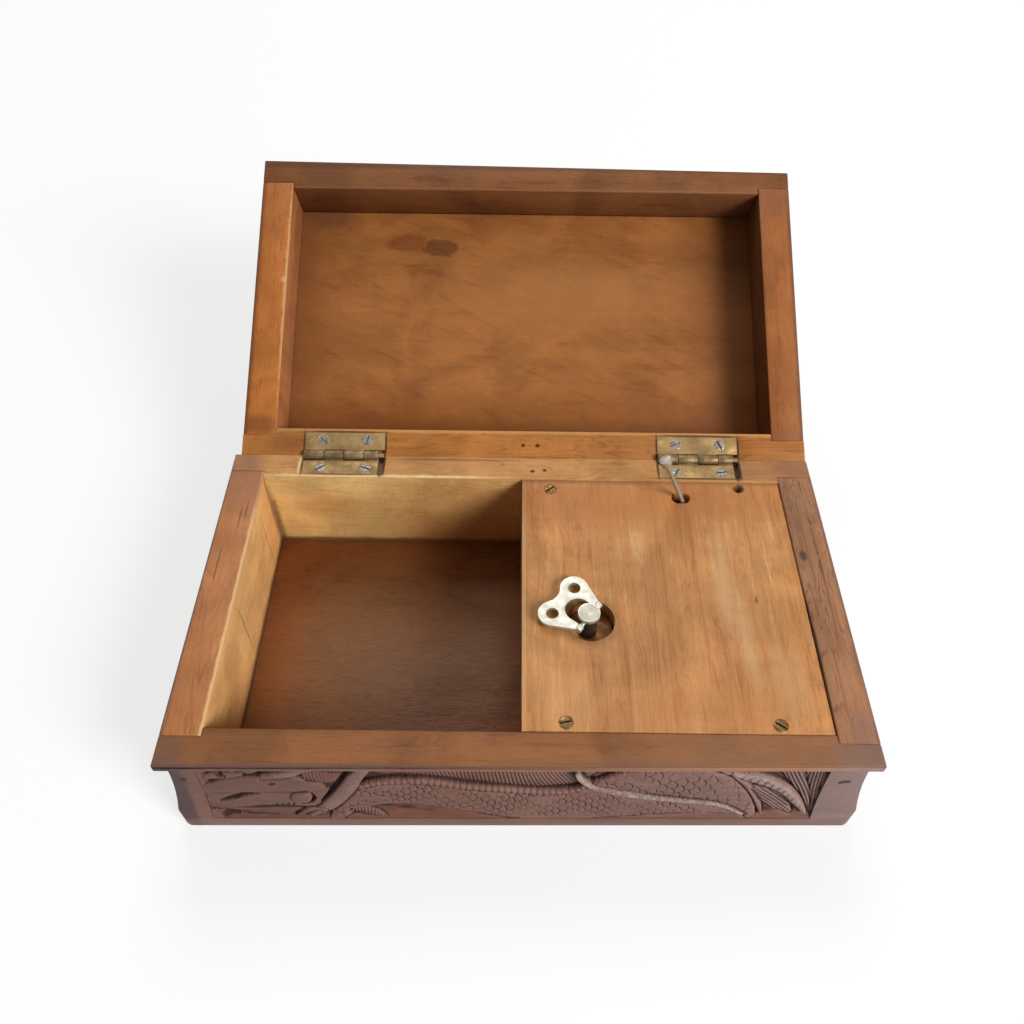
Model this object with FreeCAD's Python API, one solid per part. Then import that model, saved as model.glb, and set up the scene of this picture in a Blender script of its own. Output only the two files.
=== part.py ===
"""A wind up music box: a hinged wooden box with a spring driven comb movement under a cover panel.

Millimetres, X to the right, Y to the back, Z up, origin at the middle of the underside.
The lid stands open on its stop, the key lies folded and the movement is at rest.
"""
import FreeCAD, Part
import math
import os

Vec = FreeCAD.Vector
AXIS_X = Vec(1, 0, 0)
AXIS_Y = Vec(0, 1, 0)
AXIS_Z = Vec(0, 0, 1)

# Case: outline at the lip, and the moulded outer face
case_width = 182.0
case_depth = 105.5
case_height = 36.0
lip_height = 3.0
lip_overhang = 2.0
lip_arris = 0.6
foot_flare = 1.0
foot_height = 5.0
foot_corner_radius = 3.0
front_skew_angle = 0.69

# Case boards
front_thickness = 9.4
back_thickness = 10.6
side_thickness = 10.7
corner_rebate = 2.2
floor_thickness = 4.0
partition_thickness = 4.0

# Carved field of the front board, and the main forms of its dragon
carving_left_margin = 8.6
carving_right_margin = 11.6
carving_edge = 0.15
carving_depth = 1.7
carving_near_skim = 0.35
carving_far_skim = 0.8

# Cover panel over the movement
panel_thickness = 4.0
panel_left = 0.4
panel_gap = 0.4
cleat_length = 13.0
cleat_width = 6.5
cleat_height = 10.0
back_left_screw_side = 8.6
back_left_screw_edge = 3.95
front_left_screw_side = 11.3
front_left_screw_edge = 2.75
front_right_screw_side = 13.8
front_right_screw_edge = 2.55
empty_hole_side = 12.9
empty_hole_edge = 2.7
panel_screw_head = 2.0
panel_screw_shank = 0.9
panel_screw_length = 10.0
key_hole_radius = 6.7
key_hole_shift_x = 0.7
key_hole_shift_y = 0.2
stop_hole_shift = -0.1
stop_hole_length = 5.8
stop_hole_width = 4.2

# Lid
lid_side_inset = 1.25
lid_shift = 0.75
lid_rim_gap = 0.2
lid_recess = 15.6
lid_top_thickness = 5.0
lid_edge_radius = 3.0
lid_front_thickness = 9.4
lid_back_thickness = 10.5
lid_side_thickness = 10.5
lid_open_angle = 153.0

# Butt hinges
hinge_end_distance = 34.8
hinge_width = 25.4
hinge_inset = 1.6
leaf_thickness = 1.2
leaf_depth = 7.6
knuckle_radius = 1.7
knuckle_count = 4
knuckle_gap = 0.15
hinge_pin_radius = 0.9
hinge_clearance = 0.05
groove_clearance = 0.3
stop_bevel_gap = 0.04
hinge_screw_spacing = 14.0
hinge_screw_head = 1.7
hinge_screw_shank = 0.8
hinge_screw_length = 7.0
hinge_screw_setback = 5.1
screw_head_height = 1.0
screw_sides = 8

# Fits
running_clearance = 0.05
seat_clearance = 0.3

# Movement bed and the axis of the winding arbor
bed_thickness = 2.0
bed_partition_gap = 3.6
bed_margin = 2.0
bed_corner_cut = 3.0
bed_screw_inset = 4.0
bed_screw_head = 2.4
bed_screw_shank = 1.2
arbor_partition_distance = 14.3
arbor_front_distance = 33.45

# Winding arbor and its folding key
arbor_radius = 2.6
arbor_pivot_radius = 1.5
arbor_shoulder_lift = 0.2
arbor_head_radius = 3.05
arbor_head_thickness = 1.3
arbor_head_rise = 4.2
key_pin_rise = 1.8
key_pin_radius = 0.6
key_heading = 143.5
key_thickness = 1.2
key_lobe_radius = 4.0
key_lobe_hole_radius = 1.75
key_lobe_reach = 8.5
key_lobe_spacing = 10.6
key_jaw_outer = 5.4
key_jaw_depth = 7.2
key_head_gap = 0.65
key_ear_radius = 1.0
key_waist_radius = 5.0

# Spring barrel and the bevel pair that drives the cylinder
cylinder_axis_drop = 11.0
bevel_module = 1.0
bevel_wheel_teeth = 24
bevel_pinion_teeth = 12
bevel_face_width = 4.0
bevel_addendum = 0.8
bevel_dedendum = 1.1
bevel_tooth_thickness = 1.2
bevel_cut_reach = 1.1
tooth_pressure_angle = 20.0
barrel_wall = 0.9
barrel_floor = 0.8
barrel_lift = 0.6
barrel_wheel_rim = 1.6
barrel_web = 1.4
mainspring_thickness = 0.4
mainspring_turns = 3
mainspring_sides = 20
mainspring_end_gap = 0.4
pillar_radius = 2.2
pillar_sides = 6
pillar_spread = 16.0
bridge_width = 14.0
bridge_thickness = 1.7
bridge_panel_gap = 0.8
clutch_radius = 4.5
clutch_height = 2.2
bridge_screw_head = 1.7
bridge_screw_shank = 0.9
bridge_screw_length = 6.0

# Pinned cylinder and its spur wheel
cylinder_radius = 6.5
cylinder_start = 17.0
cylinder_length = 21.0
cylinder_arbor_radius = 1.0
pin_thickness = 0.36
pin_rise = 0.5
pin_seat = 0.4
pins_per_tine = 3
pin_spiral_angle = 137.5
spur_module = 0.5
spur_wheel_teeth = 36
spur_pinion_teeth = 9
spur_addendum = 0.4
spur_dedendum = 0.62
spur_tooth_thickness = 0.55
spur_centre_slack = 0.08
spur_width = 1.6
pinion_extra_width = 0.6
bearing_thickness = 1.4
bearing_margin = 3.2

# Comb
tine_count = 14
tine_slot = 0.35
tine_tip_gap = 0.35
tine_shortest = 7.0
tine_longest = 11.0
comb_thickness = 1.0
comb_depth = 18.0
comb_seat_depth = 6.0
comb_screw_count = 3
comb_screw_head = 1.6
comb_screw_shank = 0.9
comb_screw_length = 6.0

# Governor: worm wheel, worm and air brake fan
worm_wheel_teeth = 16
worm_wheel_width = 1.2
worm_wheel_offset = 3.8
worm_radius = 1.45
worm_core_radius = 0.95
worm_thread_rise = 0.36
worm_thread_tip = 0.24
worm_thread_root = 0.5
worm_turns = 2
worm_sides = 16
worm_centre_slack = 0.08
worm_shaft_radius = 0.6
governor_arbor_radius = 0.8
fan_reach = 4.0
fan_height = 5.0
fan_thickness = 0.5
fan_hub_radius = 1.2
fan_lift = 2.2
worm_bearing_height = 1.4
worm_bearing_gap = 0.6

# Stop lever that the lid pushes over
stop_pivot_drop = 6.0
stop_lean_angle = 23.0
stop_rod_radius = 0.75
stop_head_radius = 1.7
stop_head_length = 3.4
stop_head_rise = 15.6
stop_arbor_distance = 30.5
stop_back_distance = 7.0
stop_shaft_radius = 0.8
stop_finger_radius = 0.6
stop_swing_angle = 13.0
stop_hub_radius = 1.5
stop_hub_length = 3.0
stop_bracket_thickness = 1.4
stop_bracket_width = 6.0
stop_bracket_span = 7.0
stop_spring_thickness = 0.25
stop_spring_width = 1.6
stop_spring_gap = 0.4

# Lines of the dragon's forms: shares of the field's width and height, and half widths as shares of the height
dragon_near_forms = (
    ((0.20, 0.00, 0.05), (0.26, 0.34, 0.18), (0.36, 0.41, 0.20), (0.48, 0.27, 0.22), (0.62, 0.24, 0.24),
     (0.72, 0.21, 0.16), (0.80, 0.17, 0.08), (0.88, 0.08, 0.02)),
    ((0.27, 0.86, 0.06), (0.24, 0.52, 0.08), (0.19, 0.14, 0.06), (0.16, 0.05, 0.02)),
    ((0.18, 0.43, 0.12), (0.11, 0.46, 0.16), (0.04, 0.48, 0.09), (0.01, 0.44, 0.03)),
    ((0.17, 0.18, 0.08), (0.09, 0.12, 0.08), (0.01, 0.11, 0.03)),
    ((0.83, 0.77, 0.03), (0.92, 0.57, 0.08), (0.99, 0.10, 0.03)),
)
dragon_far_forms = (
    ((0.63, 0.60, 0.06), (0.72, 0.60, 0.22), (0.82, 0.48, 0.24), (0.89, 0.10, 0.07)),
    ((0.31, 0.80, 0.06), (0.44, 0.70, 0.11), (0.58, 0.66, 0.12), (0.63, 0.76, 0.04)),
    ((0.32, 0.89, 0.04), (0.57, 0.86, 0.07), (0.88, 0.88, 0.04)),
    ((0.14, 0.50, 0.05), (0.18, 0.70, 0.16), (0.23, 0.86, 0.05)),
    ((0.96, 0.84, 0.09), (0.97, 0.46, 0.07), (0.98, 0.12, 0.02)),
)

# Heights and places that follow from the sizes above
tooth_flank = math.tan(math.radians(tooth_pressure_angle))
half_width = case_width / 2
half_depth = case_depth / 2
front_skew = math.radians(front_skew_angle)
under_lip = case_height - lip_height
hollow_rise = under_lip - foot_height
hollow_flare = foot_flare + lip_overhang
hollow_radius = (hollow_rise * hollow_rise + hollow_flare * hollow_flare) / (2 * hollow_flare)
inner_x = half_width - side_thickness
inner_front = -half_depth + front_thickness
inner_back = half_depth - back_thickness
panel_under = case_height - panel_thickness
bed_top = floor_thickness + bed_thickness
hinge_y = half_depth - hinge_inset
hinge_z = case_height + lid_rim_gap / 2
lid_rim = case_height + lid_rim_gap
lid_half_width = half_width - lid_side_inset
lid_height = lid_recess + lid_top_thickness
partition_right = panel_left + partition_thickness
panel_screw_places = (
    (panel_left + back_left_screw_side, inner_back - back_left_screw_edge),
    (panel_left + front_left_screw_side, inner_front + front_left_screw_edge),
    (inner_x - front_right_screw_side, inner_front + front_right_screw_edge),
)
panel_empty_hole = (inner_x - empty_hole_side, inner_back - empty_hole_edge)
hinge_place = half_width - hinge_end_distance
arbor_x = partition_right + arbor_partition_distance
arbor_y = inner_front + arbor_front_distance
cylinder_axis_height = panel_under - cylinder_axis_drop
arbor_base = Vec(arbor_x, arbor_y, 0)
key_pin_z = case_height + key_pin_rise
bevel_apex = Vec(arbor_x, arbor_y, cylinder_axis_height)
cylinder_left = arbor_x + cylinder_start
cylinder_right = cylinder_left + cylinder_length
spur_wheel_radius = spur_module * spur_wheel_teeth / 2
spur_pinion_radius = spur_module * spur_pinion_teeth / 2
governor_y = arbor_y + spur_wheel_radius + spur_pinion_radius + spur_centre_slack
worm_wheel_radius = spur_module * worm_wheel_teeth / 2
worm_wheel_x = cylinder_right + worm_wheel_offset
worm_y = governor_y + worm_wheel_radius + worm_radius + worm_centre_slack
worm_arm_under = cylinder_axis_height + worm_wheel_radius + spur_addendum + worm_bearing_gap
worm_arm_top = worm_arm_under + worm_bearing_height
spur_left = worm_wheel_x + worm_wheel_offset
frame_near_x = worm_wheel_x - worm_wheel_offset
frame_far_x = spur_left + spur_width + pinion_extra_width + seat_clearance
comb_tip_y = arbor_y - cylinder_radius - pin_rise - tine_tip_gap
comb_heel_y = comb_tip_y - comb_depth
bed_left = partition_right + bed_partition_gap
bed_right = frame_far_x + bearing_thickness + bed_margin
bed_front = comb_heel_y - bed_margin
bed_back = worm_y + bearing_margin + bed_margin
stop_x = arbor_x + stop_arbor_distance
stop_y = inner_back - stop_back_distance
stop_pivot_z = case_height - stop_pivot_drop
stop_pivot_x = stop_x + stop_pivot_drop * math.tan(math.radians(stop_lean_angle))


# General helpers
def block(x0, x1, y0, y1, z0, z1):
    """A rectangular block between two corners."""
    return Part.makeBox(x1 - x0, y1 - y0, z1 - z0, Vec(x0, y0, z0))


def rod(radius, length, base, direction):
    """A round bar from base along direction."""
    return Part.makeCylinder(radius, length, base, direction)


def fused(shapes):
    """One solid from touching or overlapping shapes."""
    result = shapes[0]
    for shape in shapes[1:]:
        result = result.fuse(shape)
    return result.removeSplitter()


def cut_by(shape, tools):
    """The shape with every tool taken away."""
    for tool in tools:
        shape = shape.cut(tool)
    return shape


def polygon_face(points):
    """A flat face inside a closed row of points."""
    return Part.Face(Part.makePolygon(list(points) + [points[0]]))


def turned(shape, base, axis, angle):
    """A copy of the shape turned about an axis."""
    copy = shape.copy()
    copy.rotate(base, axis, angle)
    return copy


def regular_outline(radius, sides, base, first_angle):
    """The corners of a level regular outline whose flat sides lie at the radius."""
    corner_radius = radius / math.cos(math.pi / sides)
    points = []
    for index in range(sides):
        angle = math.radians(first_angle) + 2 * math.pi * index / sides
        points.append(base + Vec(corner_radius * math.cos(angle), corner_radius * math.sin(angle), 0))
    return points


def faceted(sections, sides, first_angle):
    """A flat sided turning through (centre, radius) sections, one above the other."""
    rings = [regular_outline(radius, sides, centre, first_angle) for centre, radius in sections]
    faces = [polygon_face(rings[0]), polygon_face(rings[-1])]
    for lower, upper in zip(rings, rings[1:]):
        for index in range(sides):
            faces.append(polygon_face([lower[index - 1], lower[index], upper[index], upper[index - 1]]))
    return Part.makeSolid(Part.makeShell(faces))


def sided_bar(radius, height, base, sides, first_angle):
    """An upright many sided bar from base."""
    return faceted([(base, radius), (base + AXIS_Z * height, radius)], sides, first_angle)


def screw(base, direction, head, shank, length):
    """A countersunk screw, many sided, with its flat head at base and its shank upright along direction."""
    neck = base + direction * screw_head_height
    return faceted([(base, head), (neck, shank), (base + direction * length, shank)], screw_sides, 0)


# Case
def hollow_out(z):
    """How far the hollow moulding stands out from its neck at a height."""
    return hollow_radius - math.sqrt(hollow_radius ** 2 - (under_lip - z) ** 2)


def front_planed(bar):
    """A bar along X whose front is planed slightly out of square, fuller at the left."""
    front_half = block(-2 * case_width, 2 * case_width, -2 * case_depth, 0, 0, 2 * (case_height + lid_height))
    front = turned(bar, Vec(0, -half_depth, 0), AXIS_Z, front_skew_angle).common(front_half)
    return fused([front, bar.cut(front_half)])


def moulded_section(half, point):
    """The case's outline across one pair of boards: lip, hollow face and foot."""
    foot = half + foot_flare
    neck = half - lip_overhang
    half_turn = math.asin(hollow_rise / hollow_radius) / 2
    mid_down = hollow_radius * math.sin(half_turn)
    mid_out = hollow_out(under_lip - mid_down)
    arris_mid = lip_arris * (1 - math.sqrt(0.5))
    edges = [Part.LineSegment(point(-foot, 0), point(foot, 0)).toShape()]
    for side in (1, -1):
        edges += [
            Part.LineSegment(point(side * foot, 0), point(side * foot, foot_height)).toShape(),
            Part.Arc(point(side * foot, foot_height), point(side * (neck + mid_out), under_lip - mid_down),
                     point(side * neck, under_lip)).toShape(),
            Part.LineSegment(point(side * neck, under_lip), point(side * half, under_lip)).toShape(),
            Part.LineSegment(point(side * half, under_lip),
                             point(side * half, case_height - lip_arris)).toShape(),
            Part.Arc(point(side * half, case_height - lip_arris),
                     point(side * (half - arris_mid), case_height - arris_mid),
                     point(side * (half - lip_arris), case_height)).toShape(),
        ]
    edges.append(Part.LineSegment(point(lip_arris - half, case_height),
                                  point(half - lip_arris, case_height)).toShape())
    return Part.Face(Part.Wire(Part.__sortEdges__(edges)))


def case_block():
    """The solid that the four boards are cut from, moulded all round with rounded foot corners."""
    reach_x = half_width + foot_flare
    reach_y = half_depth + foot_flare
    along_x = moulded_section(half_depth, lambda u, z: Vec(-case_width, u, z))
    along_x = front_planed(along_x.extrude(AXIS_X * (2 * case_width)))
    along_y = moulded_section(half_width, lambda u, z: Vec(u, -case_depth, z))
    along_y = along_y.extrude(AXIS_Y * (2 * case_depth))
    slip = reach_x * math.tan(front_skew)
    foot_front = half_depth + foot_flare / math.cos(front_skew)
    plan = polygon_face([Vec(-reach_x, -foot_front - slip, 0), Vec(reach_x, slip - foot_front, 0),
                         Vec(reach_x, reach_y, 0), Vec(-reach_x, reach_y, 0)]).extrude(AXIS_Z * case_height)
    upright = [edge for edge in plan.Edges if abs(edge.tangentAt(edge.FirstParameter).z) > 0.5]
    plan = plan.makeFillet(foot_corner_radius, upright)
    return along_x.common(along_y).common(plan)


def form_outline(line, left, low, width, height):
    """The corners of a tapering band that follows a line on the carved field."""
    spots = [Vec(left + share_x * width, 0, low + share_z * height) for share_x, share_z, _ in line]
    halves = [share * height for _, _, share in line]
    over = []
    under = []
    for index, spot in enumerate(spots):
        run = spots[min(index + 1, len(spots) - 1)] - spots[max(index - 1, 0)]
        aside = Vec(-run.z, 0, run.x).normalize() * halves[index]
        over.append(spot + aside)
        under.append(spot - aside)
    return over + under[::-1]


def carved_front(front):
    """The front board with a sunk field, in which the dragon's main forms stand at two levels."""
    left = -half_width + carving_left_margin
    right = half_width - carving_right_margin
    low = foot_height + carving_edge
    high = case_height - lip_height - 2 * carving_edge
    heights = (low, (low + high) / 2, high)

    def in_front_of(depth):
        """The part of the field in front of a face sunk under the moulding in two flats."""
        neck = half_depth - lip_overhang - depth
        section = [Vec(left, -case_depth, low)]
        section += [Vec(left, -neck - hollow_out(z), z) for z in heights]
        section.append(Vec(left, -case_depth, high))
        tool = polygon_face(section).extrude(AXIS_X * (right - left))
        return turned(tool, Vec(0, -half_depth, 0), AXIS_Z, front_skew_angle)

    def bars(lines):
        """Bars along Y with the outlines of the dragon's forms."""
        outlines = [form_outline(line, left, low, right - left, high - low) for line in lines]
        return [polygon_face([point - AXIS_Y * case_depth for point in outline]).extrude(AXIS_Y * case_depth)
                for outline in outlines]

    near = bars(dragon_near_forms)
    far = bars(dragon_far_forms)
    deep = cut_by(in_front_of(carving_depth), near + far)
    middle = cut_by(in_front_of(carving_far_skim), near)
    return cut_by(front, [in_front_of(carving_near_skim), middle, deep])


def stop_bevel(upward):
    """The wedge behind the hinge axis that lets the lid lean back until the two bevels meet."""
    lean = math.radians(90 - lid_open_angle / 2)
    sign = 1 if upward else -1
    length = case_height
    near = hinge_y - stop_bevel_gap
    far = near + length * math.sin(lean)
    behind = half_depth + foot_flare + length
    tip = hinge_z + sign * length * math.cos(lean)
    base = hinge_z - sign * lid_rim_gap
    outline = [(near, base), (near, hinge_z), (far, tip), (behind, tip), (behind, base)]
    face = polygon_face([Vec(-case_width, y, z) for y, z in outline])
    return face.extrude(Vec(2 * case_width, 0, 0))


def hinge_sides():
    """The two hinges' names and middle places along X."""
    return (("left", -hinge_place), ("right", hinge_place))


def hinge_screw_points():
    """The places of the screws in one leaf, for both hinges, seen from above."""
    points = []
    for _, middle in hinge_sides():
        for step in (-0.5, 0.5):
            points.append((middle + step * hinge_screw_spacing, hinge_y - hinge_screw_setback))
    return points


def hinge_screws(z, direction):
    """The four screws of the base leaves or of the lid leaves."""
    return [screw(Vec(x, y, z), direction, hinge_screw_head, hinge_screw_shank, hinge_screw_length)
            for x, y in hinge_screw_points()]


def hinge_mortises(z0, z1):
    """The leaf seats and knuckle grooves of both hinges between two heights."""
    cuts = []
    for _, middle in hinge_sides():
        left = middle - hinge_width / 2
        right = middle + hinge_width / 2
        cuts.append(block(left, right, hinge_y - leaf_depth, hinge_y, z0, z1))
        groove = knuckle_radius + groove_clearance
        cuts.append(rod(groove, hinge_width, Vec(left, hinge_y, hinge_z), AXIS_X))
    return cuts


def case_boards():
    """The four moulded boards, the bottom and the partition."""
    body = case_block()
    reach_x = half_width + foot_flare
    reach_y = half_depth + foot_flare
    front_seat = inner_front - corner_rebate
    back_seat = inner_back + corner_rebate
    front = body.common(block(-reach_x, reach_x, -case_depth, inner_front, 0, case_height))
    back = body.common(block(-reach_x, reach_x, inner_back, reach_y, 0, case_height))
    left = body.common(block(-reach_x, -inner_x, front_seat, back_seat, 0, case_height))
    right = body.common(block(inner_x, reach_x, front_seat, back_seat, 0, case_height))
    for board in (left, right):
        front = front.cut(board)
        back = back.cut(board)
    front = carved_front(front)
    back = cut_by(back, [stop_bevel(False)] + hinge_mortises(case_height - leaf_thickness, lid_rim))
    back = cut_by(back, hinge_screws(case_height, -AXIS_Z))
    bottom = block(-inner_x, inner_x, inner_front, inner_back, 0, floor_thickness)
    bottom = cut_by(bottom, bed_screws() + [stop_bracket_screw()])
    partition = block(panel_left, partition_right, inner_front, inner_back, floor_thickness, panel_under)
    return {"front_board": front, "back_board": back, "left_board": left, "right_board": right,
            "bottom_board": bottom, "partition": partition}


# Cover panel
def panel_screws():
    """The three screws left in the cover panel."""
    return [screw(Vec(x, y, case_height), -AXIS_Z, panel_screw_head, panel_screw_shank, panel_screw_length)
            for x, y in panel_screw_places]


def panel_empty_screw_hole():
    """The hole of the missing fourth screw."""
    x, y = panel_empty_hole
    return screw(Vec(x, y, case_height), -AXIS_Z, panel_screw_head, panel_screw_shank, panel_screw_length)


def stop_hole():
    """The rounded slot that the stop rod stands in."""
    x = stop_x + stop_hole_shift
    y = stop_y
    radius = stop_hole_width / 2
    half_run = stop_hole_length / 2 - radius
    middle = block(x - half_run, x + half_run, y - radius, y + radius, 0, case_height)
    ends = [rod(radius, case_height, Vec(x + side * half_run, y, 0), AXIS_Z) for side in (-1, 1)]
    return fused([middle] + ends)


def cover_panel():
    """The loose board over the movement, its corner cleats and its screws."""
    panel = block(panel_left, inner_x - panel_gap, inner_front + panel_gap / 2, inner_back - panel_gap / 2,
                  panel_under, case_height)
    key_hole_base = arbor_base + Vec(key_hole_shift_x, key_hole_shift_y, 0)
    key_hole = rod(key_hole_radius, case_height, key_hole_base, AXIS_Z)
    screws = panel_screws()
    holes = screws + [panel_empty_screw_hole()]
    panel = cut_by(panel, [key_hole, stop_hole()] + holes)
    cleats = []
    for x, y in panel_screw_places + (panel_empty_hole,):
        y0, y1 = (inner_back - cleat_width, inner_back) if y > 0 else (inner_front, inner_front + cleat_width)
        x0 = max(x - cleat_length / 2, partition_right)
        cleat = block(x0, x0 + cleat_length, y0, y1, panel_under - cleat_height, panel_under)
        cleats.append(cut_by(cleat, holes))
    return {"cover_panel": panel, "panel_cleats": Part.makeCompound(cleats),
            "panel_screws": Part.makeCompound(screws)}


# Hinges
def hinge_leaf(middle, plate_z0, plate_z1, own, bore, screws):
    """One leaf: a plate with its share of the knuckles round the pin."""
    left = middle - hinge_width / 2
    pitch = hinge_width / knuckle_count
    plate = block(left, left + hinge_width, hinge_y - leaf_depth, hinge_y, plate_z0, plate_z1)
    room = knuckle_radius + groove_clearance
    tubes = []
    for index in range(knuckle_count):
        start = left + index * pitch
        if index % 2 == own:
            tubes.append(rod(knuckle_radius, pitch - knuckle_gap, Vec(start, hinge_y, hinge_z), AXIS_X))
        else:
            plate = plate.cut(block(start - knuckle_gap, start + pitch, hinge_y - room, hinge_y + room,
                                    hinge_z - room, hinge_z + room))
    hole = rod(bore, hinge_width, Vec(left, hinge_y, hinge_z), AXIS_X)
    return cut_by(fused([plate] + tubes), [hole] + screws)


def hinges():
    """Both butt hinges with pins and screws, the lid's half still in its closed place."""
    base_screws = hinge_screws(case_height, -AXIS_Z)
    lid_screws = hinge_screws(lid_rim, AXIS_Z)
    base = {"hinge_screws_base": Part.makeCompound(base_screws)}
    lid = {"hinge_screws_lid": Part.makeCompound(lid_screws)}
    pins = []
    for name, middle in hinge_sides():
        base["hinge_base_leaf_" + name] = hinge_leaf(
            middle, case_height - leaf_thickness, case_height, 1, hinge_pin_radius, base_screws)
        lid["hinge_lid_leaf_" + name] = hinge_leaf(
            middle, lid_rim, lid_rim + leaf_thickness, 0, hinge_pin_radius + hinge_clearance, lid_screws)
        left = middle - hinge_width / 2
        pins.append(rod(hinge_pin_radius, hinge_width, Vec(left, hinge_y, hinge_z), AXIS_X))
    base["hinge_pins"] = Part.makeCompound(pins)
    return base, lid


# Lid
def lid_section(half, point):
    """The lid's outline across one pair of rails, rounded along the top."""
    top = lid_rim + lid_height
    shoulder = top - lid_edge_radius
    corner = lid_edge_radius * (1 - math.sqrt(0.5))
    edges = [Part.LineSegment(point(-half, lid_rim), point(half, lid_rim)).toShape()]
    for side in (1, -1):
        edges.append(Part.LineSegment(point(side * half, lid_rim), point(side * half, shoulder)).toShape())
        edges.append(Part.Arc(point(side * half, shoulder), point(side * (half - corner), top - corner),
                              point(side * (half - lid_edge_radius), top)).toShape())
    edges.append(Part.LineSegment(point(lid_edge_radius - half, top),
                                  point(half - lid_edge_radius, top)).toShape())
    return Part.Face(Part.Wire(Part.__sortEdges__(edges)))


def lid_boards():
    """The lid's four rails and its top board, in the closed place."""
    along_x = lid_section(half_depth, lambda u, z: Vec(-case_width, u, z))
    along_x = front_planed(along_x.extrude(AXIS_X * (2 * case_width)))
    along_y = lid_section(lid_half_width, lambda u, z: Vec(u, -case_depth, z))
    along_y = along_y.extrude(AXIS_Y * (2 * case_depth))
    body = along_x.common(along_y)
    body.translate(AXIS_X * lid_shift)
    body = body.cut(stop_bevel(True))
    lid_left = lid_shift - lid_half_width
    lid_right = lid_shift + lid_half_width
    ceiling = lid_rim + lid_recess
    top = lid_rim + lid_height
    front_inner = -half_depth + lid_front_thickness
    back_inner = half_depth - lid_back_thickness
    front_seat = front_inner - corner_rebate
    back_seat = back_inner + corner_rebate
    left_inner = lid_left + lid_side_thickness
    right_inner = lid_right - lid_side_thickness
    left = body.common(block(lid_left, left_inner, front_seat, back_seat, lid_rim, ceiling))
    right = body.common(block(right_inner, lid_right, front_seat, back_seat, lid_rim, ceiling))
    front = body.common(block(lid_left, lid_right, -case_depth, front_inner, lid_rim, ceiling))
    back = body.common(block(lid_left, lid_right, back_inner, half_depth, lid_rim, ceiling))
    for rail in (left, right):
        front = front.cut(rail)
        back = back.cut(rail)
    back = cut_by(back, hinge_mortises(case_height, lid_rim + leaf_thickness))
    back = cut_by(back, hinge_screws(lid_rim, AXIS_Z))
    panel = body.common(block(lid_left, lid_right, -case_depth, half_depth, ceiling, top))
    return {"lid_front_rail": front, "lid_back_rail": back, "lid_left_rail": left, "lid_right_rail": right,
            "lid_top_board": panel}


def opened(pieces):
    """The lid's pieces swung back on the hinge pins to the open stop."""
    axis_point = Vec(0, hinge_y, hinge_z)
    return {name: turned(shape, axis_point, AXIS_X, -lid_open_angle) for name, shape in pieces.items()}


# Winding arbor and key
def winding_arbor():
    """The arbor with its bottom pivot and round head, and the pin that the key folds on."""
    head_top = case_height + arbor_head_rise
    shoulder = bed_top + arbor_shoulder_lift
    pivot = rod(arbor_pivot_radius, shoulder - floor_thickness - seat_clearance,
                arbor_base + AXIS_Z * (floor_thickness + seat_clearance), AXIS_Z)
    head_under = head_top - arbor_head_thickness
    shaft = rod(arbor_radius, head_under - shoulder, arbor_base + AXIS_Z * shoulder, AXIS_Z)
    head = rod(arbor_head_radius, arbor_head_thickness, arbor_base + AXIS_Z * head_under, AXIS_Z)
    heading = math.radians(key_heading)
    across = Vec(-math.sin(heading), math.cos(heading), 0)
    middle = arbor_base + AXIS_Z * key_pin_z
    pin = rod(key_pin_radius, 2 * key_jaw_outer, middle - across * key_jaw_outer, across)
    return {"winding_arbor": fused([pivot, shaft, head]).cut(pin), "key_pin": pin}


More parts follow.
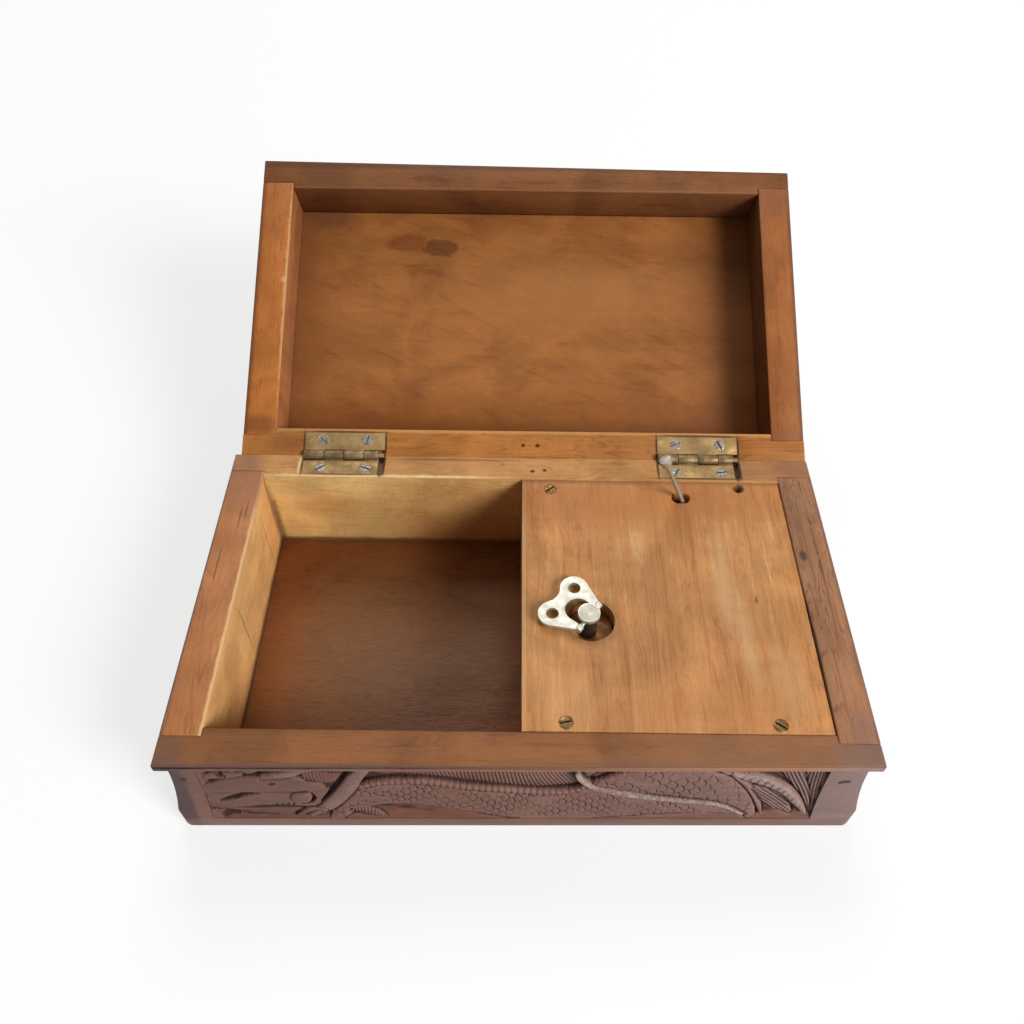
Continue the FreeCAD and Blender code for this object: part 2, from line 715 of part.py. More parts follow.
def key_plate():
    """The flat folding key: two holed lobes and a jaw whose ears sit on the pin."""
    jaw_inner = arbor_head_radius + key_head_gap
    half_spacing = key_lobe_spacing / 2
    half_plate = key_thickness / 2
    base = -AXIS_Z * half_plate
    lobe_places = [base + Vec(key_lobe_reach, side * half_spacing, 0) for side in (-1, 1)]
    lobes = [rod(key_lobe_radius, key_thickness, place, AXIS_Z) for place in lobe_places]
    ear_to_lobe = math.hypot(key_lobe_reach, half_spacing - key_jaw_outer)
    side_length = math.sqrt(ear_to_lobe ** 2 - key_lobe_radius ** 2)
    side_angle = math.atan2(half_spacing - key_jaw_outer, key_lobe_reach)
    side_angle += math.asin(key_lobe_radius / ear_to_lobe)
    shoulder_x = side_length * math.cos(side_angle)
    shoulder_y = key_jaw_outer + side_length * math.sin(side_angle)
    bow_reach = key_lobe_radius + key_waist_radius
    bow_x = key_lobe_reach + math.sqrt(bow_reach ** 2 - half_spacing ** 2)
    waist_x = key_lobe_reach + (bow_x - key_lobe_reach) * key_lobe_radius / bow_reach
    waist_y = half_spacing * key_waist_radius / bow_reach
    half_outline = [(0, key_jaw_outer), (shoulder_x, shoulder_y), (key_lobe_reach, half_spacing),
                    (waist_x, waist_y)]
    outline = half_outline + [(x, -y) for x, y in reversed(half_outline)]
    web = polygon_face([base + Vec(x, y, 0) for x, y in outline]).extrude(AXIS_Z * key_thickness)
    bow = rod(key_waist_radius, key_thickness, base + Vec(bow_x, 0, 0), AXIS_Z)
    body = fused([web.cut(bow)] + lobes)
    ears = [rod(key_ear_radius, key_jaw_outer - jaw_inner, Vec(0, start, 0), AXIS_Y)
            for start in (-key_jaw_outer, jaw_inner)]
    throat = key_jaw_depth - jaw_inner
    opening = [block(-2 * key_ear_radius, throat, -jaw_inner, jaw_inner, -half_plate, half_plate),
               rod(jaw_inner, key_thickness, base + Vec(throat, 0, 0), AXIS_Z)]
    holes = [rod(key_lobe_hole_radius, key_thickness, place, AXIS_Z) for place in lobe_places]
    pin_hole = rod(key_pin_radius + running_clearance, 2 * key_jaw_outer, Vec(0, -key_jaw_outer, 0), AXIS_Y)
    plate = cut_by(fused([cut_by(body, opening)] + ears), holes + [pin_hole])
    plate = turned(plate, Vec(0, 0, 0), AXIS_Z, key_heading)
    plate.translate(arbor_base + AXIS_Z * key_pin_z)
    return {"key_plate": plate}


# Movement bed
def bed_screws():
    """The four screws that hold the bed, driven from under the bottom board."""
    points = [(bed_left + bed_screw_inset, bed_front + bed_screw_inset),
              (bed_left + bed_screw_inset, bed_back - bed_screw_inset),
              (bed_right - bed_screw_inset, bed_front + bed_screw_inset),
              (bed_right - bed_screw_inset, bed_back - bed_screw_inset)]
    return [screw(Vec(x, y, 0), AXIS_Z, bed_screw_head, bed_screw_shank, bed_top) for x, y in points]


def bedplate():
    """The flat metal bed of the movement, its screws and the bearings drilled in it."""
    plate = block(bed_left, bed_right, bed_front, bed_back, floor_thickness, bed_top)
    upright = [edge for edge in plate.Edges if abs(edge.tangentAt(edge.FirstParameter).z) > 0.5]
    plate = plate.makeChamfer(bed_corner_cut, upright)
    screws = bed_screws()
    arbor_hole = rod(arbor_pivot_radius + running_clearance, bed_top, arbor_base, AXIS_Z)
    worm_hole = rod(worm_shaft_radius + running_clearance, bed_top, Vec(worm_wheel_x, worm_y, 0), AXIS_Z)
    return {"bedplate": cut_by(plate, screws + [arbor_hole, worm_hole]),
            "bedplate_screws": Part.makeCompound(screws)}


# Bevel pair
def bevel_cone(own_teeth, other_teeth):
    """Pitch radius, distance from the apex and the outward direction of a bevel wheel's pitch cone."""
    pitch_radius = bevel_module * own_teeth / 2
    reach = bevel_module * other_teeth / 2
    cone = math.hypot(pitch_radius, reach)
    return pitch_radius, reach, (-pitch_radius / cone, reach / cone), cone


def bevel_points(own_teeth, other_teeth):
    """Tip, root and inner tip of a bevel tooth as (along the axis, from the axis)."""
    pitch_radius, reach, normal, cone = bevel_cone(own_teeth, other_teeth)
    shrink = 1 - bevel_face_width / cone
    tip = (reach + bevel_addendum * normal[0], pitch_radius + bevel_addendum * normal[1])
    root = (reach - bevel_dedendum * normal[0], pitch_radius - bevel_dedendum * normal[1])
    return tip, root, (tip[0] * shrink, tip[1] * shrink)


def bevel_gap(own_teeth, other_teeth):
    """The pyramid between two bevel teeth, its point at the apex, along +Z with the gap at +X."""
    pitch_radius, reach, normal, _ = bevel_cone(own_teeth, other_teeth)
    half_gap = (math.pi * bevel_module - bevel_tooth_thickness) / 2
    corners = []
    for height in (-bevel_dedendum, 2 * bevel_addendum):
        radius = bevel_cut_reach * (pitch_radius + height * normal[1])
        along = bevel_cut_reach * (reach + height * normal[0])
        half = bevel_cut_reach * (half_gap + height * tooth_flank)
        corners.append((Vec(radius, -half, along), Vec(radius, half, along)))
    ring = [corners[0][0], corners[0][1], corners[1][1], corners[1][0]]
    apex = Vec(0, 0, 0)
    faces = [polygon_face([ring[index - 1], ring[index], apex]) for index in range(len(ring))]
    faces.append(polygon_face(ring))
    return Part.makeSolid(Part.makeShell(faces))


def bevel_wheel(profile, own_teeth, other_teeth, first_angle):
    """A bevel wheel on +Z with its apex at the origin, from a flat sided blank with the tooth gaps cut."""
    sections = [(AXIS_Z * along, radius) for along, radius in profile]
    blank = faceted(sections, own_teeth, first_angle)
    gap = bevel_gap(own_teeth, other_teeth)
    for index in range(own_teeth):
        blank = blank.cut(turned(gap, Vec(0, 0, 0), AXIS_Z, first_angle + 360.0 * index / own_teeth))
    return blank


def barrel():
    """The spring barrel: a drum, the toothed wheel that closes it and the mainspring."""
    tip, root, inner_tip = bevel_points(bevel_wheel_teeth, bevel_pinion_teeth)
    hub = arbor_radius + running_clearance
    wheel_under = root[0] + barrel_wheel_rim
    web_top = wheel_under - barrel_web
    profile = [inner_tip, tip, (wheel_under, tip[1])]
    wheel = bevel_wheel(profile, bevel_wheel_teeth, bevel_pinion_teeth, 0)
    dish = inner_tip[1] - barrel_wall
    wheel = cut_by(wheel, [sided_bar(dish, web_top, Vec(0, 0, 0), bevel_wheel_teeth, 0),
                           rod(hub, wheel_under, Vec(0, 0, 0), AXIS_Z)])
    wheel.rotate(Vec(0, 0, 0), AXIS_X, 180)
    wheel.translate(bevel_apex)
    top = cylinder_axis_height - wheel_under
    bottom = bed_top + barrel_lift
    inside = tip[1] - barrel_wall
    flat = math.cos(math.pi / bevel_wheel_teeth)
    drum = sided_bar(flat * tip[1], top - bottom, arbor_base + AXIS_Z * bottom, bevel_wheel_teeth, 0)
    drum = drum.cut(sided_bar(inside, top - bottom, arbor_base + AXIS_Z * (bottom + barrel_floor),
                              bevel_wheel_teeth, 0))
    drum = drum.cut(rod(hub, top, arbor_base, AXIS_Z))
    spring_bottom = bottom + barrel_floor + seat_clearance
    spring_height = top - seat_clearance - spring_bottom
    spring = mainspring(hub + mainspring_end_gap, inside - seat_clearance, spring_height)
    spring.translate(arbor_base + AXIS_Z * spring_bottom)
    return {"barrel_drum": drum, "barrel_wheel": wheel, "mainspring": spring}


def mainspring(inner, outer, height):
    """A flat spiral ribbon in short straight runs, wound from inner to outer radius."""
    runs = mainspring_turns * mainspring_sides
    step = (outer - inner - mainspring_thickness) / runs
    rows = ([], [])
    for index in range(runs + 1):
        angle = 2 * math.pi * index / mainspring_sides
        for row, extra in zip(rows, (0.0, mainspring_thickness)):
            radius = inner + extra + step * index
            row.append(Vec(radius * math.cos(angle), radius * math.sin(angle), 0))
    return polygon_face(rows[0] + rows[1][::-1]).extrude(AXIS_Z * height)


def barrel_bridge():
    """The bridge over the barrel on two pillars, with the one way bush of the arbor under it."""
    top = panel_under - bridge_panel_gap
    under = top - bridge_thickness
    hole = arbor_radius + running_clearance
    ends = [arbor_base + AXIS_Y * (side * pillar_spread) for side in (-1, 1)]
    bar = block(arbor_x - bridge_width / 2, arbor_x + bridge_width / 2, arbor_y - pillar_spread,
                arbor_y + pillar_spread, under, top)
    pad_turn = 180.0 / screw_sides
    pads = [sided_bar(bridge_width / 2, bridge_thickness, end + AXIS_Z * under, screw_sides, pad_turn)
            for end in ends]
    screws = [screw(end + AXIS_Z * top, -AXIS_Z, bridge_screw_head, bridge_screw_shank, bridge_screw_length)
              for end in ends]
    arbor_hole = rod(hole, top, arbor_base, AXIS_Z)
    pillar_height = under - bed_top
    pillars = []
    for end in ends:
        pillar = sided_bar(pillar_radius, pillar_height, end + AXIS_Z * bed_top, pillar_sides, 0)
        pillars.append(cut_by(pillar, screws))
    bush_base = arbor_base + AXIS_Z * (under - clutch_height)
    bush = sided_bar(clutch_radius, clutch_height, bush_base, screw_sides, 0)
    return {"barrel_bridge": cut_by(fused([bar] + pads), screws + [arbor_hole]),
            "barrel_pillars": Part.makeCompound(pillars), "bridge_screws": Part.makeCompound(screws),
            "clutch_bush": bush.cut(arbor_hole)}


# Cylinder
def spur_outline(teeth, phase):
    """A straight flanked spur wheel's outline about the origin, a tooth at the phase angle."""
    pitch_radius = spur_module * teeth / 2
    half = spur_tooth_thickness / 2
    flanks = ((-spur_dedendum, -1), (spur_addendum, -1), (spur_addendum, 1), (-spur_dedendum, 1))
    points = []
    for index in range(teeth):
        middle = math.radians(phase) + 2 * math.pi * index / teeth
        for height, side in flanks:
            radius = pitch_radius + height
            angle = middle + side * (half - height * tooth_flank) / radius
            points.append((radius * math.cos(angle), radius * math.sin(angle)))
    return points


def spur_wheel(teeth, phase, bore, x, y, width):
    """A spur wheel on an axis along X, the phase counted from +Y towards +Z."""
    outline = [Vec(x, y + across, cylinder_axis_height + up) for across, up in spur_outline(teeth, phase)]
    wheel = polygon_face(outline).extrude(AXIS_X * width)
    return wheel.cut(rod(bore, width, Vec(x, y, cylinder_axis_height), AXIS_X))


def cylinder():
    """The pinned cylinder on its arbor with the bevel pinion and the spur wheel."""
    tip, root, inner_tip = bevel_points(bevel_pinion_teeth, bevel_wheel_teeth)
    axis_left = Vec(cylinder_left, arbor_y, cylinder_axis_height)
    pinion_back = root[0] + barrel_wall
    profile = [inner_tip, tip, (pinion_back, root[1])]
    pinion = bevel_wheel(profile, bevel_pinion_teeth, bevel_wheel_teeth, 180.0 / bevel_pinion_teeth)
    pinion = pinion.cut(rod(cylinder_arbor_radius, pinion_back, Vec(0, 0, 0), AXIS_Z))
    pinion.rotate(Vec(0, 0, 0), AXIS_Y, 90)
    pinion.translate(bevel_apex)
    arbor_start = bevel_apex + AXIS_X * inner_tip[0]
    arbor_right = frame_far_x + bearing_thickness
    arbor = rod(cylinder_arbor_radius, arbor_right - arbor_start.x, arbor_start, AXIS_X)
    drum = rod(cylinder_radius, cylinder_length, axis_left, AXIS_X)
    drum = drum.cut(rod(cylinder_arbor_radius, cylinder_length, axis_left, AXIS_X))
    pins = []
    half_pin = pin_thickness / 2
    pitch = cylinder_length / tine_count
    for tine in range(tine_count):
        foot = axis_left + AXIS_X * ((tine + 0.5) * pitch)
        for turn in range(pins_per_tine):
            angle = pin_spiral_angle * tine + 360.0 * turn / pins_per_tine
            pin = Part.makeBox(pin_thickness, pin_seat + pin_rise, pin_thickness,
                               foot + Vec(-half_pin, cylinder_radius - pin_seat, -half_pin))
            pins.append(turned(pin, foot, AXIS_X, angle))
    wheel = spur_wheel(spur_wheel_teeth, 0, cylinder_arbor_radius, spur_left, arbor_y, spur_width)
    return {"cylinder_drum": drum, "cylinder_pins": Part.makeCompound(pins), "cylinder_arbor": arbor,
            "cylinder_pinion": pinion, "cylinder_wheel": wheel}


def cylinder_bridge():
    """The left bearing bracket of the cylinder, between the bevel pinion and the drum."""
    _, root, _ = bevel_points(bevel_pinion_teeth, bevel_wheel_teeth)
    left = arbor_x + root[0] + barrel_wall + seat_clearance
    plate = block(left, left + bearing_thickness, arbor_y - bearing_margin, arbor_y + bearing_margin,
                  bed_top, cylinder_axis_height + bearing_margin)
    hole = rod(cylinder_arbor_radius + running_clearance, bearing_thickness,
               Vec(left, arbor_y, cylinder_axis_height), AXIS_X)
    return {"cylinder_bridge": plate.cut(hole)}


# Comb
def comb():
    """The steel comb on its seat, with tines that shorten from bass to treble, and its screws."""
    under = cylinder_axis_height - comb_thickness / 2
    pitch = cylinder_length / tine_count
    plate = block(cylinder_left, cylinder_right, comb_heel_y, comb_tip_y, under, under + comb_thickness)
    slots = []
    for index in range(1, tine_count):
        middle = cylinder_left + index * pitch
        length = tine_longest + (tine_shortest - tine_longest) * index / tine_count
        slots.append(block(middle - tine_slot / 2, middle + tine_slot / 2, comb_tip_y - length, comb_tip_y,
                           under, under + comb_thickness))
    seat = block(cylinder_left, cylinder_right, comb_heel_y, comb_heel_y + comb_seat_depth, bed_top, under)
    screws = []
    for index in range(comb_screw_count):
        x = cylinder_left + cylinder_length * (index + 0.5) / comb_screw_count
        head = Vec(x, comb_heel_y + comb_seat_depth / 2, under + comb_thickness)
        screws.append(screw(head, -AXIS_Z, comb_screw_head, comb_screw_shank, comb_screw_length))
    return {"comb": cut_by(plate, slots + screws), "comb_seat": cut_by(seat, screws),
            "comb_screws": Part.makeCompound(screws)}


# Governor
def governor_frame():
    """The bracket that carries the right end of the cylinder, the governor arbor and the worm."""
    axis_z = cylinder_axis_height
    far_front = arbor_y - bearing_margin
    far_back = governor_y + bearing_margin
    far_right = frame_far_x + bearing_thickness
    far = block(frame_far_x, far_right, far_front, far_back, bed_top, axis_z + bearing_margin)
    near_left = frame_near_x - bearing_thickness
    near = block(near_left, frame_near_x, governor_y - bearing_margin, governor_y + bearing_margin,
                 bed_top, worm_arm_top)
    arm = block(near_left, worm_wheel_x + bearing_margin / 2, governor_y, worm_y + bearing_margin / 2,
                worm_arm_under, worm_arm_top)
    holes = [rod(cylinder_arbor_radius + running_clearance, bearing_thickness,
                 Vec(frame_far_x, arbor_y, axis_z), AXIS_X),
             rod(governor_arbor_radius + running_clearance, far_right - near_left,
                 Vec(near_left, governor_y, axis_z), AXIS_X),
             rod(worm_shaft_radius + running_clearance, worm_arm_top,
                 Vec(worm_wheel_x, worm_y, bed_top), AXIS_Z)]
    near_frame = fused([near, arm])
    return {"governor_frame_far": cut_by(far, holes), "governor_frame_near": cut_by(near_frame, holes)}


def governor():
    """The governor arbor with its pinion and worm wheel."""
    start = frame_near_x - bearing_thickness
    arbor = rod(governor_arbor_radius, frame_far_x + bearing_thickness - start,
                Vec(start, governor_y, cylinder_axis_height), AXIS_X)
    pinion_phase = 180 + 180.0 / spur_pinion_teeth
    pinion = spur_wheel(spur_pinion_teeth, pinion_phase, governor_arbor_radius,
                        spur_left - pinion_extra_width / 2, governor_y, spur_width + pinion_extra_width)
    wheel = spur_wheel(worm_wheel_teeth, 180.0 / worm_wheel_teeth, governor_arbor_radius,
                       worm_wheel_x - worm_wheel_width / 2, governor_y, worm_wheel_width)
    return {"governor_arbor": arbor, "governor_pinion": pinion, "worm_wheel": wheel}


def worm_thread(lead):
    """The worm's thread in short straight runs, from the height of its first turn's start."""
    sunk = worm_core_radius - worm_thread_tip
    crest = worm_radius + worm_thread_rise
    corners = ((sunk, -worm_thread_root / 2), (crest, -worm_thread_tip / 2), (crest, worm_thread_tip / 2),
               (sunk, worm_thread_root / 2))
    rings = []
    for index in range(worm_turns * worm_sides + 1):
        angle = 2 * math.pi * index / worm_sides
        climb = lead * index / worm_sides
        rings.append([Vec(radius * math.cos(angle), radius * math.sin(angle), climb + rise)
                      for radius, rise in corners])
    faces = [polygon_face(rings[0]), polygon_face(rings[-1])]
    for lower, upper in zip(rings, rings[1:]):
        for index in range(len(corners)):
            faces.append(polygon_face([lower[index - 1], lower[index], upper[index]]))
            faces.append(polygon_face([lower[index - 1], upper[index], upper[index - 1]]))
    return Part.makeSolid(Part.makeShell(faces))


def worm_shaft():
    """The upright worm shaft and the two bladed fan that brakes it in the air."""
    place = Vec(worm_wheel_x, worm_y, 0)
    lead = math.pi * spur_module
    height = worm_turns * lead
    start_z = cylinder_axis_height - height / 2
    shaft = rod(worm_shaft_radius, worm_arm_top - floor_thickness - seat_clearance,
                place + AXIS_Z * (floor_thickness + seat_clearance), AXIS_Z)
    core = sided_bar(worm_core_radius, height + lead, place + AXIS_Z * (start_z - lead / 2), worm_sides, 0)
    thread = worm_thread(lead)
    thread.rotate(Vec(0, 0, 0), AXIS_Z, -90 - 180 * worm_turns)
    thread.translate(place + AXIS_Z * start_z)
    fan_z = bed_top + fan_lift
    hub = sided_bar(fan_hub_radius, fan_height, place + AXIS_Z * fan_z, screw_sides, 0)
    blade = block(worm_wheel_x - fan_reach, worm_wheel_x + fan_reach, worm_y - fan_thickness / 2,
                  worm_y + fan_thickness / 2, fan_z, fan_z + fan_height)
    bore = rod(worm_shaft_radius, fan_height, place + AXIS_Z * fan_z, AXIS_Z)
    return {"worm_shaft": fused([shaft, core, thread]), "fan": fused([hub, blade]).cut(bore)}


# Stop lever
def stop_bracket_place():
    """The near faces of the stop bracket's two plates along Y."""
    back = stop_y - stop_hub_length / 2 - seat_clearance - stop_bracket_thickness
    return back - stop_bracket_span, back


def stop_bracket_screw():
    """The screw that holds the stop bracket to the bottom board."""
    front, back = stop_bracket_place()
    middle = (front + back + stop_bracket_thickness) / 2
    return screw(Vec(stop_pivot_x, middle, 0), AXIS_Z, bed_screw_head, bed_screw_shank,
                 floor_thickness + stop_bracket_thickness)


def stop_lever():
    """The headed stop rod on its rocking shaft, the finger at the fan, the bracket and the return spring."""
    lean = math.radians(stop_lean_angle)
    along = Vec(-math.sin(lean), 0, math.cos(lean))
    pivot = Vec(stop_pivot_x, stop_y, stop_pivot_z)
    length = (stop_head_rise + stop_pivot_drop) / math.cos(lean)
    wire = rod(stop_rod_radius, length, pivot, along)
    head = rod(stop_head_radius, stop_head_length, pivot + along * (length - stop_head_length / 2), along)
    hub = rod(stop_hub_radius, stop_hub_length, pivot - AXIS_Y * (stop_hub_length / 2), AXIS_Y)
    finger_y = worm_y
    shaft_start = Vec(stop_pivot_x, finger_y - 2 * stop_finger_radius, stop_pivot_z)
    shaft_length = pivot.y + stop_hub_length / 2 - shaft_start.y
    shaft = rod(stop_shaft_radius, shaft_length, shaft_start, AXIS_Y)
    finger_top = Vec(stop_pivot_x, finger_y, stop_pivot_z)
    fan_side = Vec(worm_wheel_x - fan_reach - stop_finger_radius - seat_clearance, finger_y,
                   bed_top + fan_lift + fan_height / 2)
    drop = fan_side - finger_top
    finger = rod(stop_finger_radius, drop.Length, finger_top, drop)
    finger = turned(finger, finger_top, AXIS_Y, stop_swing_angle)
    rocker = fused([shaft, finger])
    front, back = stop_bracket_place()
    left = stop_pivot_x - stop_bracket_width / 2
    right = stop_pivot_x + stop_bracket_width / 2
    foot = block(left, right, front, back + stop_bracket_thickness, floor_thickness,
                 floor_thickness + stop_bracket_thickness)
    top = stop_pivot_z + stop_hub_radius - stop_shaft_radius
    plates = [block(left, right, y, y + stop_bracket_thickness, floor_thickness, top) for y in (front, back)]
    bore = rod(stop_shaft_radius + running_clearance, stop_bracket_span + 2 * stop_bracket_thickness,
               Vec(stop_pivot_x, front, stop_pivot_z), AXIS_Y)
    bracket_screw = stop_bracket_screw()
    spring_y = back + stop_bracket_thickness
    spring_x = stop_pivot_x + stop_hub_radius + stop_spring_gap
    spring = block(spring_x, spring_x + stop_spring_thickness, spring_y, spring_y + stop_spring_width,
                   floor_thickness + stop_bracket_thickness, stop_pivot_z + stop_hub_radius)
    return {"stop_rod": cut_by(fused([wire, head, hub]), [rocker]), "stop_rocker": rocker,
            "stop_bracket": cut_by(fused([foot] + plates), [bore, bracket_screw]),
            "stop_bracket_screw": bracket_screw, "stop_spring": spring}


def all_pieces():
    """Every piece of the music box by name, in its place."""
    base_hinges, lid_hinges = hinges()
    closed_lid = lid_boards()
    closed_lid.update(lid_hinges)
    pieces = case_boards()
    for group in (cover_panel(), base_hinges, opened(closed_lid), winding_arbor(), key_plate(), bedplate(),
                  barrel(), barrel_bridge(), cylinder(), cylinder_bridge(), comb(), governor_frame(),
                  governor(), worm_shaft(), stop_lever()):
        pieces.update(group)
    return pieces


os.makedirs("parts", exist_ok=True)
for piece_name, piece_shape in all_pieces().items():
    piece_shape.exportStep("parts/" + piece_name + ".step")
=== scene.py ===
"""Looks of a wind up music box with a carved front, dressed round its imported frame."""

import logging
import math
from dataclasses import dataclass, field, replace
from enum import Enum
from typing import Callable, Dict, List, Optional, Sequence, Tuple, Union

import bpy
import numpy as np
from mathutils import Matrix, Vector


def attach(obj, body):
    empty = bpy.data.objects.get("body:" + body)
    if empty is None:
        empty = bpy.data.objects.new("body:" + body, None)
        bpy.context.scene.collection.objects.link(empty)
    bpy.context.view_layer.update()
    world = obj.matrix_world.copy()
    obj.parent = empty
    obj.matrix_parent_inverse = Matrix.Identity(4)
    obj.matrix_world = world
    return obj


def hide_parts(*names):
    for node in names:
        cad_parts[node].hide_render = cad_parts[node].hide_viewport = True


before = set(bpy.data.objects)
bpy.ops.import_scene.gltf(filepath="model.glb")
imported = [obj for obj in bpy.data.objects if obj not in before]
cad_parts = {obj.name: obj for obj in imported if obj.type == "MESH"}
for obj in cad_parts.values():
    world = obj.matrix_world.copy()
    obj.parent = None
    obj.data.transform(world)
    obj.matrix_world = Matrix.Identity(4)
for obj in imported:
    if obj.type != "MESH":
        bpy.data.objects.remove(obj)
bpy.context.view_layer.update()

logging.basicConfig(level=logging.INFO, format="%(message)s")
log = logging.getLogger("music_box")

Piece = bpy.types.Object
Material = bpy.types.Material
Socket = bpy.types.NodeSocket
Value = Union[Socket, float, Sequence[float]]
Finishes = Dict[str, Material]
Colour = Tuple[float, float, float]
Point = Tuple[float, float, float]
Flat = Tuple[float, float]
Chooser = Callable[[np.ndarray, np.ndarray], np.ndarray]

MM = 0.001
FAR = 1.0e4
RIM_Z = 36.0
FLOOR_Z = 4.0
LID_RIM_Z = 36.2
LID_PANEL_Z = 51.8
HINGE_X = 56.2
HINGE_Y = 51.15
HINGE_Z = 36.1
LID_ANGLE = 153.0
DIRT = 0.35
FACING = 0.5
EDGE_ON = 0.3
UPRIGHT = 0.6
LEVEL = 0.9
END_DEPTH = 0.3
MERGE = 2e-6
FLAT_ANGLE = 0.4
LEAST_TILT = 0.02
MOST_TILT = 0.4
PATINA = (0.17, 0.095, 0.078)
BLOOM = (0.22, 0.15, 0.135)
# Near black, for holes, cracks, dark joints and the painted shade in recesses.
NEAR_BLACK = (0.035, 0.018, 0.011)


class Grain(Enum):
    """The way that a board's fibres run, as the number of the axis."""

    ACROSS = 0
    DEEP = 1


class Part(Enum):
    """Which sub-assembly's frame a finish is laid out in."""

    CASE = "case"
    LID = "lid"


class Carving(Enum):
    """How the carver has worked a stroke's surface."""

    SMOOTH = "smooth"
    SCALES = "scales"
    BEADS = "beads"
    CROSS_CUTS = "cross cuts"
    LONG_CUTS = "long cuts"


def opaque(colour: Value) -> Value:
    """Give a constant colour its alpha, and leave a linked one as it is."""
    return colour if isinstance(colour, Socket) else (*colour, 1.0)


def dirty(colour: Colour) -> Colour:
    """Give the colour of the dirt in a surface's pores or pits."""
    return tuple(DIRT * value for value in colour)


def open_lid() -> Matrix:
    """Work out how the shut lid comes to its rest.

    Returns:
        The turn about the hinge pins.
    """
    pin = Vector((0.0, HINGE_Y, HINGE_Z)) * MM
    turn = Matrix.Rotation(math.radians(-LID_ANGLE), 4, "X")
    return Matrix.Translation(pin) @ turn @ Matrix.Translation(-pin)


class Graph:
    """A node tree, with short calls for the nodes that the finishes and the studio use."""

    def __init__(self, holder: Union[Material, bpy.types.World], output: str = "Material") -> None:
        """Start an empty tree.

        Args:
            holder: The material or the world that the tree belongs to.
            output: The kind of its output node.
        """
        holder.use_nodes = True
        self.holder = holder
        self.tree = holder.node_tree
        self.tree.nodes.clear()
        self.output = self.tree.nodes.new("ShaderNodeOutput" + output)

    def add(self, kind: str, sockets: Optional[Dict[Union[int, str], Value]] = None,
            **settings: object) -> bpy.types.Node:
        """Add a node.

        Args:
            kind: The node's type, without the words that all shader nodes start with.
            sockets: What its inputs are linked or set to, by number or name.
            settings: Properties to set on it.

        Returns:
            The node.
        """
        node = self.tree.nodes.new("ShaderNode" + kind)
        for name, value in settings.items():
            setattr(node, name, value)
        for key, value in (sockets or {}).items():
            if isinstance(value, Socket):
                self.tree.links.new(value, node.inputs[key])
            else:
                node.inputs[key].default_value = value
        return node

    def close(self, node: bpy.types.Node) -> None:
        """Link a node to the tree's output."""
        self.tree.links.new(node.outputs[0], self.output.inputs["Surface"])

    def math(self, kind: str, first: Value, second: Value = 0.5) -> Socket:
        """Combine two numbers."""
        return self.add("Math", {0: first, 1: second}, operation=kind).outputs[0]

    def sway(self, noise: Socket, share: float) -> Socket:
        """Give how far a noise is from its average of a half, times a share."""
        return self.math("MULTIPLY", self.math("SUBTRACT", noise, 0.5), share)

    def vector(self, kind: str, first: Value, second: Value) -> Socket:
        """Combine two vectors."""
        return self.add("VectorMath", {0: first, 1: second}, operation=kind).outputs[0]

    def tint(self, colour: Value, level: Value) -> Socket:
        """Multiply a colour or a place by a number."""
        return self.add("VectorMath", {0: colour, "Scale": level}, operation="SCALE").outputs[0]

    def turn(self, spot: Socket, axis: str, centre: Point, angle: float) -> Socket:
        """Turn a place about an axis through a centre, by degrees."""
        sockets = {"Vector": spot, "Center": centre, "Angle": math.radians(angle)}
        return self.add("VectorRotate", sockets, rotation_type=axis).outputs[0]

    def place(self, part: Part) -> Socket:
        """Give the place on the piece in millimetres, the lid's as if it were shut.

        Args:
            part: The sub-assembly that the finish is for.

        Returns:
            A vector socket.
        """
        spot = self.tint(self.add("TexCoord").outputs["Object"], 1.0 / MM)
        if part is Part.CASE:
            return spot
        return self.turn(spot, "X_AXIS", (0.0, HINGE_Y, HINGE_Z), LID_ANGLE)

    def noise(self, spot: Socket, cell: Point, detail: float = 3.0, rough: float = 0.55,
              twist: float = 0.0) -> Socket:
        """Give noise whose cells have a size along each axis.

        Args:
            spot: The place to read it at, in millimetres.
            cell: The cells' size along each axis, in millimetres.
            detail: How many octaves it has.
            rough: How strong the finer octaves are.
            twist: How far it is distorted.

        Returns:
            A number socket, about a half on average.
        """
        spot = self.vector("MULTIPLY", spot, tuple(1.0 / length for length in cell))
        sockets = {"Vector": spot, "Scale": 1.0, "Detail": detail, "Roughness": rough, "Distortion": twist}
        return self.add("TexNoise", sockets).outputs[0]

    def band(self, value: Socket, low: float, high: float, bottom: float = 0.0, top: float = 1.0) -> Socket:
        """Map a number from one range to another, with soft ends."""
        sockets = {"Value": value, "From Min": low, "From Max": high, "To Min": bottom, "To Max": top}
        return self.add("MapRange", sockets, interpolation_type="SMOOTHSTEP").outputs[0]

    def mix(self, share: Value, first: Value, second: Value) -> Socket:
        """Mix two colours by a share."""
        return self.add("Mix", {0: share, 6: opaque(first), 7: opaque(second)}, data_type="RGBA").outputs[2]

    def bump(self, height: Socket, strength: float, depth: float, below: Optional[Socket] = None) -> Socket:
        """Turn a height into a normal.

        Args:
            height: The height.
            strength: How strong the bump is.
            depth: Its depth in millimetres.
            below: The normal that it adds to.

        Returns:
            A normal socket.
        """
        sockets = {"Strength": strength, "Distance": depth * MM, "Height": height}
        if below is not None:
            sockets["Normal"] = below
        return self.add("Bump", sockets).outputs[0]

    def shade(self, colour: Socket, rough: Socket, normal: Socket, **constants: float) -> Material:
        """Close the tree with the surface shader.

        Args:
            colour: The base colour.
            rough: The roughness.
            normal: The normal.
            constants: Values of other sockets, by name with underscores for spaces.

        Returns:
            The material.
        """
        sockets = {"Base Color": colour, "Roughness": rough, "Normal": normal}
        sockets.update({name.replace("_", " "): value for name, value in constants.items()})
        self.close(self.add("BsdfPrincipled", sockets))
        return self.holder

